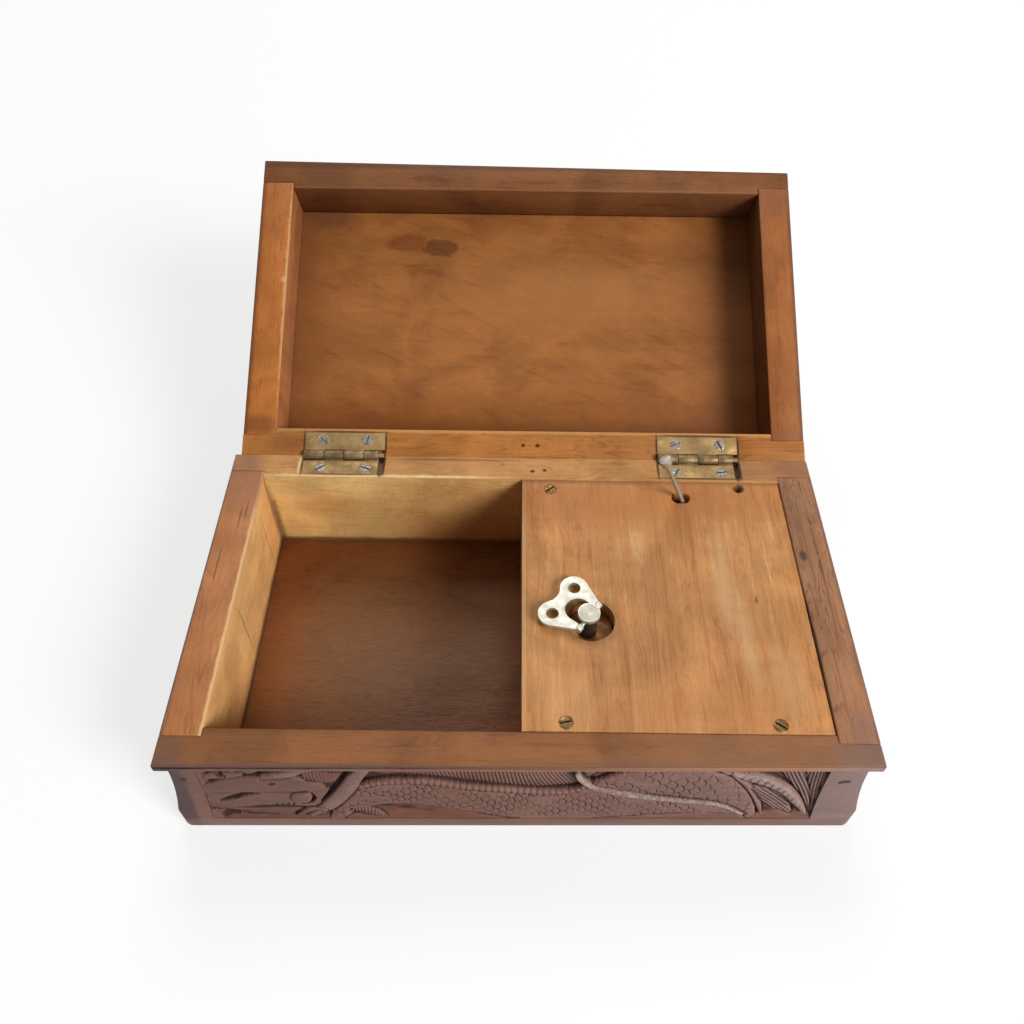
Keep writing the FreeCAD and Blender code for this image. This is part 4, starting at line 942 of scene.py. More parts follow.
        # The fine cuts hold dirt; the broad hollows, from the wide average, get painted shade.
        hollow = np.clip((blur - sheet) / 0.24, 0, 1) + np.clip((mean - sheet) / 1.1, 0, 1) * 0.8
        crest = np.clip(0.5 + (sheet - blur) / 0.2, 0, 1) * np.clip(sheet / 1.6, 0, 1)
        self.keep(mesh, "hollow", np.clip(hollow, 0, 1), order)
        self.keep(mesh, "crest", crest, order)
        open_ground = self.blur(bare[order].reshape(sheet.shape), 4) ** 3
        self.keep(mesh, "bare", open_ground, order)
        self.keep(mesh, "worn", self.blur(worn[order].reshape(sheet.shape), 1), order)
        mesh.update()
        smooth(piece, 70.0)
        return piece

    @staticmethod
    def blur(sheet: np.ndarray, reach: int) -> np.ndarray:
        """Average a sheet of numbers over a square, twice.

        Args:
            sheet: The numbers.
            reach: How many places the square goes to each side.

        Returns:
            The averages.
        """
        for _ in range(2):
            for axis in (0, 1):
                pad = [(0, 0), (0, 0)]
                pad[axis] = (reach + 1, reach)
                total = np.cumsum(np.pad(sheet, pad, mode="edge"), axis=axis)
                size = sheet.shape[axis]
                upper = np.take(total, range(2 * reach + 1, 2 * reach + 1 + size), axis=axis)
                lower = np.take(total, range(0, size), axis=axis)
                sheet = (upper - lower) / (2 * reach + 1)
        return sheet

    @staticmethod
    def keep(mesh: bpy.types.Mesh, name: str, sheet: np.ndarray, order: np.ndarray) -> None:
        """Store a sheet of numbers on a mesh's points.

        Args:
            mesh: The mesh.
            name: The attribute's name.
            sheet: The numbers.
            order: The points' numbers in the sheet's order.
        """
        values = np.empty(len(order), dtype=np.float32)
        values[order] = sheet.ravel()
        mesh.attributes.new(name, "FLOAT", "POINT").data.foreach_set("value", values)

    def build_board(self) -> Piece:
        """Copy the front board, open it where the carved field goes and ease its edges.

        Returns:
            The board.
        """
        piece = copy_node("front_board", "front_board_eased")
        slack = 0.05

        def in_field(face: bpy.types.MeshPolygon) -> bool:
            """Tell whether a face lies in the carved field."""
            x, y, z = face.center / MM
            return (self.left < x + slack and x - slack < self.right and self.low < z + slack
                    and z - slack < self.high and y < self.behind_y)

        select_faces(piece, in_field)
        bpy.ops.mesh.delete(type="FACE")
        bpy.ops.object.mode_set(mode="OBJECT")
        ease_edges(piece, self.edge)
        smooth(piece)
        return piece

    def build(self, finishes: Finishes) -> None:
        """Build the board and its carving and dress them.

        Args:
            finishes: The woods by name.
        """
        self.draw()
        board = self.build_board()
        paint(board, finishes["front_rail"])
        paint(board, finishes["outside"], lambda at, to: (at[:, 2] < self.stain_top) & (to[:, 1] < EDGE_ON)
              & ((at[:, 1] < self.stain_y) | (np.abs(at[:, 0]) > self.end_x)))
        settle(board, "case", ("front_board",))
        carving = self.build_field()
        paint(carving, finishes["carved"])
        settle(carving, "case")


@dataclass
class SlottedScrew:
    """A countersunk wood screw's head, modelled once with its slot and copied to each place."""

    radius: float
    rise: float
    slot_width: float
    slot_depth: float
    depth: float = 1.2
    taper: float = 0.62
    edge: float = 0.07
    domes: Tuple[Flat, ...] = ((0.22, 0.7), (0.38, 0.3))

    def model(self) -> Piece:
        """Model the head at the origin with its top up.

        Returns:
            The head.
        """
        clear_choice()
        bpy.ops.mesh.primitive_cylinder_add(vertices=40, radius=self.radius * MM, depth=self.depth * MM,
                                            location=(0, 0, -0.5 * self.depth * MM))
        head = bpy.context.object
        bpy.ops.object.transform_apply(location=True)
        select_faces(head, lambda face: face.normal.z > LEVEL)
        for inset, lift in self.domes:
            bpy.ops.mesh.inset(thickness=inset * self.radius * MM)
            bpy.ops.transform.translate(value=(0, 0, lift * self.rise * MM))
        select_faces(head, lambda face: face.normal.z < -LEVEL)
        bpy.ops.transform.resize(value=(self.taper, self.taper, 1.0))
        clear_choice()
        middle = self.rise - 0.5 * self.slot_depth + 0.5
        bpy.ops.mesh.primitive_cube_add(size=1.0, location=(0, 0, middle * MM))
        cutter = bpy.context.object
        cutter.scale = (3.0 * self.radius * MM, self.slot_width * MM, (self.slot_depth + 1.0) * MM)
        bpy.ops.object.transform_apply(location=True, scale=True)
        apply_modifier(head, "BOOLEAN", object=cutter, operation="DIFFERENCE", solver="EXACT")
        bpy.data.objects.remove(cutter)
        ease_edges(head, self.edge, 2, 30.0)
        smooth(head, 40.0)
        return head

    def place(self, name: str, places: Sequence[Tuple[Point, float]], turn: Optional[Matrix] = None) -> Piece:
        """Copy the head to its places and join the copies to one piece.

        Args:
            name: The piece's name.
            places: Each head's place in millimetres and its slot's angle in degrees.
            turn: A turn of the whole set, if it isn't level.

        Returns:
            The piece.
        """
        head = self.model()
        heads = []
        for spot, angle in places:
            copy = bpy.data.objects.new(name, head.data.copy())
            bpy.context.scene.collection.objects.link(copy)
            move = Matrix.Translation(Vector(spot) * MM) @ Matrix.Rotation(math.radians(angle), 4, "Z")
            copy.data.transform(move if turn is None else turn @ move)
            heads.append(copy)
        bpy.data.objects.remove(head)
        clear_choice()
        for copy in heads:
            copy.select_set(True)
        bpy.context.view_layer.objects.active = heads[0]
        bpy.ops.object.join()
        heads[0].name = name
        return heads[0]


@dataclass
class Case:
    """The case: boards, floor, partition, cover panel and their screws."""

    edge: float = 0.4
    inner_edge: float = 0.3
    stain_top: float = 35.3
    wall_top: float = 35.7
    back_y: float = 46.0
    joint_x: float = 82.0
    side_x: float = 84.0
    panel_screws: Tuple[Tuple[Point, float], ...] = (
        ((9.0, 38.2, 35.9), 40.0), ((11.7, -40.6, 35.9), 12.0), ((66.5, -40.8, 35.9), -35.0))

    def outside(self, way: float) -> Chooser:
        """Give the test for a side board's outer faces, on the left for -1 and the right for 1."""
        return lambda at, to: ((way * at[:, 0] > self.side_x) & (at[:, 2] < self.stain_top)
                               & (way * to[:, 0] > -EDGE_ON))

    def build(self, finishes: Finishes) -> None:
        """Build and dress the case.

        Args:
            finishes: The materials by name.
        """
        CarvedFront().build(finishes)
        back = Board("back_board", "case", "case_wood", self.edge).build(finishes["back_rail"])
        paint(back, finishes["inside"], lambda at, to: (to[:, 1] < -FACING) & (at[:, 2] < self.wall_top))
        paint(back, finishes["outside"], lambda at, to: (at[:, 2] < self.stain_top)
              & (((to[:, 1] > -EDGE_ON) & (at[:, 1] > self.back_y)) | (np.abs(at[:, 0]) > self.joint_x)))
        left = Board("left_board", "case", "case_wood", self.edge).build(finishes["left_rail"])
        paint(left, finishes["outside_deep"], self.outside(-1.0))
        paint(left, finishes["inside_left"], lambda at, to: (to[:, 0] > FACING) & (at[:, 2] < self.wall_top))
        right = Board("right_board", "case", "case_wood", self.edge).build(finishes["right_rail"])
        paint(right, finishes["outside_deep"], self.outside(1.0))
        for node, slot, finish in (
                ("bottom_board", "floor_wood", "floor"), ("partition", "case_wood", "partition"),
                ("cover_panel", "panel_wood", "panel"), ("panel_cleats", "case_wood", "partition")):
            Board(node, "case", slot, self.inner_edge).build(finishes[finish])
        screw = SlottedScrew(radius=2.0, rise=0.22, slot_width=0.5, slot_depth=0.7)
        screws = screw.place("panel_screw_heads", self.panel_screws)
        paint(screws, finishes["old_brass"])
        settle(screws, "case", ("panel_screws",))


@dataclass
class Lid:
    """The open lid: four rails and the top board, with limits as they are on the shut lid."""

    rails: Tuple[str, ...] = ("lid_front_rail", "lid_back_rail", "lid_left_rail", "lid_right_rail")
    edge: float = 0.45
    top_edge: float = 0.6
    left: float = -88.0
    right: float = 89.5
    far: float = -51.0
    near: float = 52.0
    above: float = 40.0
    shut: np.ndarray = field(default_factory=lambda: np.array(open_lid().inverted()))

    def upright(self, at: np.ndarray, to: np.ndarray) -> np.ndarray:
        """Tell the faces that stand upright on the shut lid."""
        return np.abs(to @ self.shut[2, :3]) < UPRIGHT

    def outer(self, at: np.ndarray, to: np.ndarray) -> np.ndarray:
        """Tell the faces on the lid's outside.

        Args:
            at: The faces' centres in millimetres.
            to: Their normals.

        Returns:
            True for each face that is one.
        """
        x, y, z = (at @ self.shut[:3, :3].T + self.shut[:3, 3] / MM).T
        edge = (x < self.left) | (x > self.right) | (y < self.far) | (y > self.near)
        return (self.upright(at, to) | (z > self.above)) & edge

    def build(self, finishes: Finishes) -> None:
        """Build and dress the lid.

        Args:
            finishes: The materials by name.
        """
        for rail in self.rails:
            piece = Board(rail, "lid", "lid_wood", self.edge).build(finishes[rail])
            paint(piece, finishes[rail + "_wall"], self.upright)
            ends = "left" in rail or "right" in rail
            paint(piece, finishes["lid_outside_deep" if ends else "lid_outside"], self.outer)
        top = Board("lid_top_board", "lid", "lid_wood", self.top_edge, 3).build(finishes["lid_panel"])
        paint(top, finishes["lid_outside"], lambda at, to: to @ self.shut[2, :3] > -FACING)


@dataclass
class Hinges:
    """The two butt hinges with their leaves, knuckles, pins and screws."""

    pitch: float = 7.0
    screw_y: float = 46.05
    base_z: float = 35.99
    lid_z: float = 36.21
    gap: float = 1.7
    knuckle: float = 1.75
    leaf_edge: float = 0.06
    pin_edge: float = 0.12
    angles: Tuple[float, ...] = (35.0, -20.0, 60.0, 10.0, -40.0, 75.0, 25.0, -60.0)

    def places(self, height: float, first: int) -> List[Tuple[Point, float]]:
        """Give the screws' places, with slots turned by hand.

        Args:
            height: The height of their heads.
            first: The number of the first slot's angle.

        Returns:
            Each screw's place and its slot's angle.
        """
        spots = []
        for hinge in (-HINGE_X, HINGE_X):
            for step in (-self.pitch, self.pitch):
                spots.append(((hinge + step, self.screw_y, height), self.angles[first + len(spots)]))
        return spots

    def build(self, finishes: Finishes) -> None:
        """Build and dress the hinges.

        Args:
            finishes: The materials by name.
        """
        for leaf, body, short in (("base", "case", self.gap), ("lid", "lid", 0.0)):
            for side in ("left", "right"):
                name = "hinge_" + leaf + "_leaf_" + side
                board = Board(name, body, "hinge_brass", self.leaf_edge, short=short)
                paint(board.build(finishes["hinge"]), finishes["knuckle"], lambda at, to: np.hypot(
                    at[:, 1] - HINGE_Y, at[:, 2] - HINGE_Z) < self.knuckle)
        Board("hinge_pins", "case", "hinge_brass", self.pin_edge).build(finishes["knuckle"])
        screw = SlottedScrew(radius=1.88, rise=0.09, slot_width=0.48, slot_depth=0.6)
        low = screw.place("hinge_screw_heads_base", self.places(self.base_z, 0))
        paint(low, finishes["steel"])
        settle(low, "case", ("hinge_screws_base",))
        flip = Matrix.Rotation(math.pi, 4, "X")
        over = Matrix.Translation((0, 2 * self.screw_y * MM, 2 * self.lid_z * MM)) @ flip
        high = screw.place("hinge_screw_heads_lid", self.places(self.lid_z, 4), open_lid() @ over)
        paint(high, finishes["steel"])
        settle(high, "lid", ("hinge_screws_lid",))


@dataclass
class Winder:
    """The winding arbor with its dished head and the folding key."""

    head_low: float = 38.85
    head_high: float = 40.2
    head_edge: float = 0.07
    pin_edge: float = 0.1
    key_edge: float = 0.22
    turning: Tuple[Flat, ...] = ((0.32, 0.0), (0.16, -0.12), (1.7, -0.06), (0.18, -0.12))

    def build_arbor(self, finishes: Finishes) -> None:
        """Build the arbor and turn a rim and a centre mark in its head.

        Args:
            finishes: The materials by name.
        """
        piece = copy_node("winding_arbor", "winding_arbor_turned")
        top = (self.head_high - 0.05) * MM
        select_faces(piece, lambda face: face.normal.z > LEVEL and face.center.z > top)
        for step, drop in self.turning:
            bpy.ops.mesh.inset(thickness=step * MM)
            bpy.ops.transform.translate(value=(0.0, 0.0, drop * MM))
        bpy.ops.object.mode_set(mode="OBJECT")
        ease_edges(piece, self.head_edge, 2, 35.0)
        smooth(piece)
        paint(piece, finishes["nickel"])
        # The shaft below the head takes painted shade, for where it goes down into the winding hole.
        paint(piece, finishes["shaded_steel"], lambda at, to: at[:, 2] < self.head_low)
        settle(piece, "winder", ("winding_arbor",))

    def build(self, finishes: Finishes) -> None:
        """Build and dress the arbor, its pin and the key.

        Args:
            finishes: The materials by name.
        """
        self.build_arbor(finishes)
        Board("key_pin", "winder", "nickel", self.pin_edge).build(finishes["nickel"])
        Board("key_plate", "key", "nickel", self.key_edge, 3).build(finishes["nickel"])


def dress_node(node: str, material: Material) -> None:
    """Give a CAD node that stays a material in all its slots.

    Args:
        node: The node.
        material: The material.
    """
    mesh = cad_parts[node].data
    if not mesh.materials:
        mesh.materials.append(material)
    for index in range(len(mesh.materials)):
        mesh.materials[index] = material


@dataclass
class StopLever:
    """The nickelled stop rod that the shut lid pushes, and its rocker."""

    pivot: Point = (51.747, 35.15, 30.0)
    lean: float = 23.0
    reach: float = 23.5
    wire: float = 0.68
    thick_end: float = 4.0
    head_radius: float = 1.0
    head_lift: float = 1.5

    def build_rod(self, finish: Material) -> None:
        """Build the rod with a slim wire and a short head.

        Args:
            finish: Its material.
        """
        piece = copy_node("stop_rod", "stop_rod_turned")
        mesh = piece.data
        away = read(mesh.vertices, "co") / MM - np.array(self.pivot)
        along = np.array([-math.sin(math.radians(self.lean)), 0.0, math.cos(math.radians(self.lean))])
        run = away @ along
        across = away - run[:, None] * along
        wide = np.linalg.norm(across, axis=1)
        across[(run > self.thick_end) & (wide < self.head_radius)] *= self.wire
        run[(run > 0.8 * self.reach) & (run < self.reach)] += self.head_lift
        placed = np.array(self.pivot) + run[:, None] * along + across
        mesh.vertices.foreach_set("co", (placed * MM).ravel())
        mesh.update()
        ease_edges(piece, 0.1, 2)
        smooth(piece, 30.0)
        paint(piece, finish)
        settle(piece, "stop_lever", ("stop_rod",))

    def build(self, finishes: Finishes) -> None:
        """Build and dress the rod and the rocker.

        Args:
            finishes: The materials by name.
        """
        self.build_rod(finishes["rod"])
        for node in ("stop_rocker", "stop_bracket", "stop_bracket_screw", "stop_spring"):
            dress_node(node, finishes["movement_steel"])


@dataclass
class Movement:
    """The sealed movement under the cover panel, which keeps its CAD shapes."""

    brass: Tuple[str, ...] = (
        "bedplate", "barrel_bridge", "barrel_pillars", "clutch_bush", "barrel_drum", "barrel_wheel",
        "cylinder_drum", "cylinder_wheel", "cylinder_pinion", "cylinder_bridge", "comb_seat",
        "governor_frame_far", "governor_frame_near", "worm_wheel")
    steel: Tuple[str, ...] = (
        "mainspring", "cylinder_pins", "cylinder_arbor", "comb", "comb_screws", "bridge_screws",
        "bedplate_screws", "governor_arbor", "governor_pinion", "worm_shaft", "fan")

    def dress(self, finishes: Finishes) -> None:
        """Give each node of the movement its metal.

        Args:
            finishes: The materials by name.
        """
        for node in self.brass:
            dress_node(node, finishes["movement_brass"])
        for node in self.steel:
            dress_node(node, finishes["movement_steel"])
        log.info("movement dressed, %d nodes", len(self.brass) + len(self.steel))


@dataclass
class Studio:
    """The floor, the soft light and the camera."""

    eye: Point = (-3.0, -149.38, 250.9)
    yaw: float = 0.1
    pitch: float = 50.34
    roll: float = 0.8
    focal: float = 921.5 / 1024.0
    sensor: float = 36.0
    aim: Point = (0.0, 0.0, 0.02)
    floor_colour: Colour = (0.36, 0.36, 0.355)
    floor_glow: float = 0.67
    sky_light: float = 0.22
    lamps: Tuple[Tuple[str, Point, float, float], ...] = (
        ("soft_right", (1.32, -1.0, 1.14), 0.8, 36.5), ("soft_back", (-0.1, 1.3, 1.52), 1.0, 15.0))

    def floor(self) -> None:
        """Lay a pale floor that keeps the box's shadow."""
        clear_choice()
        bpy.ops.mesh.primitive_plane_add(size=6.0, location=(0, 0, -0.0001))
        ground = bpy.context.object
        ground.name = "studio_floor"
        graph = Graph(bpy.data.materials.new("pale_floor"))
        diffuse = graph.add("BsdfDiffuse", {"Color": opaque(self.floor_colour)})
        glow = graph.add("Emission", {"Strength": graph.math("MULTIPLY", graph.seen(), self.floor_glow)})
        graph.close(graph.add("AddShader", {0: diffuse.outputs[0], 1: glow.outputs[0]}))
        ground.data.materials.append(graph.holder)

    def sky(self) -> None:
        """Light the box evenly from all round, white where it is seen."""
        world = bpy.data.worlds.new("studio_sky")
        bpy.context.scene.world = world
        graph = Graph(world, "World")
        level = graph.add("MapRange", {"Value": graph.seen(), "To Min": self.sky_light, "To Max": 1.0})
        graph.close(graph.add("Background", {"Strength": level.outputs[0]}))

    def lamp(self, name: str, place: Point, size: float, power: float) -> None:
        """Hang a soft square lamp that faces the box.

        Args:
            name: Its name.
            place: Its place in metres.
            size: Its side in metres.
            power: Its power in watts.
        """
        light = bpy.data.lights.new(name, "AREA")
        light.shape = "SQUARE"
        light.size = size
        light.energy = power
        lamp = bpy.data.objects.new(name, light)
        bpy.context.scene.collection.objects.link(lamp)
        way = Vector(self.aim) - Vector(place)
        lamp.matrix_world = Matrix.Translation(place) @ way.to_track_quat("-Z", "Y").to_matrix().to_4x4()

    def camera(self) -> None:
        """Set the camera where the photograph was taken from."""
        data = bpy.data.cameras.new("photo_camera")
        data.sensor_fit = "HORIZONTAL"
        data.sensor_width = self.sensor
        data.lens = self.focal * self.sensor
        data.clip_start = 0.01
        camera = bpy.data.objects.new("photo_camera", data)
        bpy.context.scene.collection.objects.link(camera)
        turns = ((-self.yaw, "Z"), (90.0 - self.pitch, "X"), (self.roll, "Z"))
        camera.matrix_world = Matrix.Translation(Vector(self.eye) * MM)
        for angle, axis in turns:
            camera.matrix_world = camera.matrix_world @ Matrix.Rotation(math.radians(angle), 4, axis)
        bpy.context.scene.camera = camera

    def build(self) -> None:
        """Set up the studio."""
        bpy.context.scene.view_settings.view_transform = "Standard"
        self.floor()
        self.sky()
        for lamp in self.lamps:
            self.lamp(*lamp)
        self.camera()


def mortise_marks(hinge: float, level: float) -> Marks:
    """Make the dark lines round a hinge leaf.

    Args:
        hinge: The hinge's place along the box.
        level: The height of the face that the leaf is let into.

    Returns:
        The marks.
    """
    ends = tuple(Mark((hinge + end, 47.4, level), (0.4, 4.4, 2), NEAR_BLACK, 0.85, 0.4, 0.3)
                 for end in (-12.95, 12.95))
    return ends + (Mark((hinge, 43.3, level), (13.2, 0.4, 2), NEAR_BLACK, 0.8, 0.4, 0.3),)


def case_marks() -> Dict[str, Marks]:
    """Lay out the wear and the stains of the case, the dark lines along its inner corners, and painted shade
    on the left corner post and in the open ends of the hinge mortises.

    Returns:
        The marks by the finish that they are on.
    """
    marks = {
        "front_rail": level_marks(
            RIM_Z,
            (0, -53.4, (FAR, 0.9, 3), PATINA, 0.7, 0.5, 0.6),
            (-89.5, -51, (6, 6, 6), PATINA, 0.45),
            (-74, -50.5, (9, 2.2, 6), (0.18, 0.085, 0.045), 0.28),
            (86.5, -49.5, (7.5, 7, 6), BLOOM, 0.65),
            (30, -51.6, (30, 1.6, 6), (0.24, 0.12, 0.07), 0.45),
            (62, -49, (30, 6, 6), (0.32, 0.165, 0.09), 0.4, 0.6, 0.5),
        ),
        "left_rail": level_marks(
            RIM_Z,
            (-91.3, 0, (1, FAR, 4), PATINA, 0.75, 0.5, 0.7),
            (-88, 49, (5, 6, 6), PATINA, 0.5),
            (-80.45, 0, (0.55, FAR, 1.2), (0.8, 0.5, 0.25), 0.75, 0.6, 1.2),
            (-85, 38, (8, 11, 6), (0.34, 0.148, 0.075), 0.68, 0.7, 0.5),
            (-84.5, 25.5, (0.22, 5.5, 4), NEAR_BLACK, 0.6, 0.4, 0.5),
            (-83, 29, (0.2, 4, 4), NEAR_BLACK, 0.55, 0.4, 0.5),
            (-87.5, 8, (0.25, 6, 4), NEAR_BLACK, 0.5, 0.4, 0.3),
        ),
        "right_rail": level_marks(
            RIM_Z,
            (91.2, 0, (1.1, FAR, 4), PATINA, 0.75, 0.5, 0.7),
            (80.3, -22, (0.6, 21, 3), NEAR_BLACK, 0.85, 0.4, 0.5),
            (82.6, 13.5, (1.1, 1.7, 4), NEAR_BLACK, 0.75, 0.5, 0.5),
            (84.5, -30, (0.35, 13, 4), NEAR_BLACK, 0.45, 0.4, 0.5),
            (87, 10, (0.4, 24, 4), NEAR_BLACK, 0.35, 0.5, 0.5),
            (86, -32, (4.5, 14, 6), (0.55, 0.26, 0.13), 0.42, 0.6, 0.5),
            (88, -42, (3.4, 6, 6), BLOOM, 0.3),
        ),
        "back_rail": level_marks(
            RIM_Z,
            (88, 48, (9, 7, 6), PATINA, 0.55),
            (-89, 48, (7, 7, 6), PATINA, 0.55),
            (0, 53, (FAR, 1, 3), PATINA, 0.6, 0.5, 0.6),
            (3.6, 45.5, (0.7, 0.6, 2), NEAR_BLACK, 0.9, 0.3, 0.2),
            (7.4, 46, (0.7, 0.6, 2), NEAR_BLACK, 0.9, 0.3, 0.2),
            (-22, 50, (18, 0.6, 2), (0.22, 0.09, 0.035), 0.6),
            (78, 47, (9, 6, 6), (0.36, 0.155, 0.065), 0.55, 0.7, 0.4),
            (-48, 42.5, (34, 0.8, 1.4), (0.88, 0.62, 0.3), 0.85, 0.6, 1),
            (-69.8, 46.5, (0.7, 3.6, 2), (0.85, 0.58, 0.27), 0.7, 0.5, 0.6),
        ),
        "inside": (
            Mark((0, 42.1, 4), (FAR, 4, 1.5), (0.1, 0.065, 0.028), 0.85, 0.6, 0.5),
            Mark((-80, 42.1, 12), (1.5, 4, 14), (0.16, 0.085, 0.035), 0.7, 0.6, 0.6),
            Mark((-62, 42.1, 22), (9, 5, 5), (0.62, 0.28, 0.085), 0.5),
            Mark((-14, 42.1, 14), (26, 9, 26), (0.37, 0.11, 0.02), 0.68, 0.8, 0.3),
        ),
        "inside_left": (
            Mark((-80, 0, 4), (4, FAR, 1.8), (0.13, 0.07, 0.03), 0.8, 0.6, 0.6),
            Mark((-80.3, 41.5, 20), (3, 1.4, 20), (0.16, 0.085, 0.035), 0.6, 0.6, 0.6),
            Mark((-80.3, -4, 20), (3, 0.3, 11), (0.16, 0.08, 0.03), 0.6, 0.5, 0.9),
            Mark((-80.3, 30, 16), (3, 0.4, 9), (0.25, 0.12, 0.05), 0.5, 0.5, 0.9),
            Mark((-80.3, -20, 24), (3, 9, 8), (0.46, 0.21, 0.075), 0.5),
        ),
        "floor": level_marks(
            FLOOR_Z,
            (-48, 2, (22, 26, 6), (0.2, 0.098, 0.043), 0.6, 0.7, 0.8),
            (-75, 0, (7, 60, 6), (0.245, 0.083, 0.023), 0.55, 0.6, 0.9),
            (-52, 36, (30, 6, 6), (0.24, 0.077, 0.02), 0.5, 0.6, 0.8),
            (-15, 4, (15, 24, 6), (0.205, 0.092, 0.034), 0.45, 0.4, 0.8),
        ),
        "panel": level_marks(
            RIM_Z,
            (0.8, 0, (0.7, FAR, 1.2), (0.72, 0.43, 0.2), 0.6, 0.6, 1),
            (58, 2, (2.6, 17, 6), (0.68, 0.41, 0.2), 0.55, 0.7, 0.6),
            (62, -16, (2, 14, 6), (0.68, 0.41, 0.2), 0.5, 0.7, 0.6),
            (71, -28, (4, 10, 6), (0.64, 0.37, 0.17), 0.5, 0.7, 0.6),
            (37, 25, (3, 9, 6), (0.63, 0.35, 0.16), 0.45, 0.7, 0.6),
            (36, 34, (40, 11, 6), (0.43, 0.155, 0.043), 0.62, 0.7, 0.5),
            (41, -4, (7, 26, 6), (0.5, 0.215, 0.072), 0.25, 0.7, 0.7),
            (40, 42, (FAR, 1.4, 6), (0.27, 0.11, 0.04), 0.6, 0.6, 0.6),
            (19.4, -9.7, (8.2, 8.2, 2), (0.26, 0.11, 0.045), 0.65, 0.3, 0.2),
            (40, -38, (34, 8, 6), (0.49, 0.205, 0.075), 0.4, 0.7, 0.6),
            (12, -34, (9, 8, 6), (0.63, 0.34, 0.15), 0.35),
            (67.4, 39.45, (1.7, 1.5, 2), NEAR_BLACK, 0.9, 0.25, 0.35),
        ),
        "outside": (
            Mark((20, -53, 34.6), (90, 3, 1.8), (0.62, 0.265, 0.13), 0.84, 0.6, 0.5),
            # Painted shade down the left corner post, on the side turned from the lamp.
            Mark((-91.6, -53, 18), (5.4, 8, FAR), (0.085, 0.05, 0.052), 0.78, 0.14, 0.12),
            # Paler and greyer on the right corner post.
            Mark((86, -52, 16), (12, 8, 30), (0.34, 0.245, 0.24), 0.55, 0.6, 0.4),
            Mark((0, -54.5, 2), (FAR, 4, 2.4), (0.3, 0.135, 0.105), 0.4, 0.6, 0.6),
            Mark((-86.2, -52.5, 24.4), (1, 3, 0.9), NEAR_BLACK, 0.95, 0.3, 0.3),
            Mark((84.7, -51.5, 23.4), (1.5, 3, 0.9), NEAR_BLACK, 0.95, 0.25, 0.2),
            Mark((83.4, -51.5, 23), (0.9, 3, 0.8), NEAR_BLACK, 0.95, 0.25, 0.2),
        ),
    }
    for hinge in (-HINGE_X, HINGE_X):
        # Painted shade on the floor of each mortise's open end, past the shortened base leaf.
        shaded_mortise_end = Mark((hinge + 11.9, 47.6, 35), (1.25, 5.4, 4), NEAR_BLACK, 0.95, 0.25, 0.2)
        marks["back_rail"] += (*mortise_marks(hinge, RIM_Z), shaded_mortise_end)
    return marks


def lid_marks() -> Dict[str, Marks]:
    """Lay out the wear, the stains and the dark line at the foot of the recess's walls, on the lid as it is
    when shut.

    Returns:
        The marks by the finish that they are on.
    """
    marks = {
        "lid_panel": level_marks(
            LID_PANEL_Z,
            (-39.5, -32, (8.5, 3.2, 6), (0.19, 0.05, 0.015), 0.62, 0.35, 0.8),
            (-29, -30.2, (6.2, 3.3, 6), (0.125, 0.04, 0.016), 0.7, 0.2, 0.45),
            (-70, -41, (9, 3.6, 6), (0.12, 0.048, 0.034), 0.6, 0.5, 0.6),
            (-52, 33, (5, 2.2, 6), (0.13, 0.045, 0.018), 0.45, 0.5, 0.7),
            (-35, 21, (4, 5, 6), (0.17, 0.06, 0.025), 0.35, 0.6, 0.7),
            (0, -45, (FAR, 6, 6), (0.3, 0.092, 0.018), 0.15, 0.8, 0.3),
            (0, 43, (FAR, 15, 6), (0.19, 0.058, 0.01), 0.78, 0.8, 0.3),
            (-80, 0, (11, FAR, 6), (0.21, 0.078, 0.025), 0.6, 0.8, 0.3),
            (81, 0, (22, FAR, 6), (0.19, 0.065, 0.02), 0.55, 0.8, 0.3),
            (18, -16, (30, 12, 6), (0.43, 0.185, 0.062), 0.45, 0.8, 0.3),
        ),
        "lid_wall": (
            Mark((0, 0, 51.8), (FAR, FAR, 0.8), NEAR_BLACK, 0.85, 0.5, 0.5),
        ),
        "lid_left_rail": level_marks(
            LID_RIM_Z,
            (-89, 0, (1.2, FAR, 6), (0.13, 0.05, 0.024), 0.7, 0.6, 0.6),
            (-78.7, -8, (0.7, 36, 1.2), (0.66, 0.36, 0.15), 0.75, 0.5, 1),
            (-84, 41, (6, 3, 6), (0.18, 0.065, 0.022), 0.6),
            (-79.5, -9.6, (0.9, 1.2, 6), (0.66, 0.4, 0.22), 0.75, 0.5, 0.6),
        ),
        "lid_right_rail": level_marks(
            LID_RIM_Z,
            (90.5, 0, (1.2, FAR, 6), (0.14, 0.06, 0.035), 0.7, 0.6, 0.6),
            (85, -42, (8, 5, 6), (0.24, 0.095, 0.04), 0.5),
            (86, 44, (8, 4, 6), (0.26, 0.1, 0.035), 0.5),
        ),
        "lid_back_rail": level_marks(
            LID_RIM_Z,
            (0.6, 47, (0.7, 0.6, 2), NEAR_BLACK, 0.9, 0.3, 0.2),
            (5.2, 47, (0.7, 0.6, 2), NEAR_BLACK, 0.9, 0.3, 0.2),
            (0, 42.6, (FAR, 0.7, 2), (0.6, 0.31, 0.11), 0.6, 0.6, 0.9),
            (-74, 47, (7, 3.5, 6), (0.2, 0.075, 0.025), 0.5),
        ),
        "lid_front_rail": level_marks(
            LID_RIM_Z,
            (0, -52.4, (FAR, 1.2, 6), (0.11, 0.045, 0.024), 0.65, 0.6, 0.6),
            (0, -43.6, (FAR, 0.6, 6), (0.3, 0.13, 0.06), 0.5, 0.6, 0.8),
        ),
    }
    for hinge in (-HINGE_X, HINGE_X):
        marks["lid_back_rail"] += mortise_marks(hinge, LID_RIM_Z)
    return marks


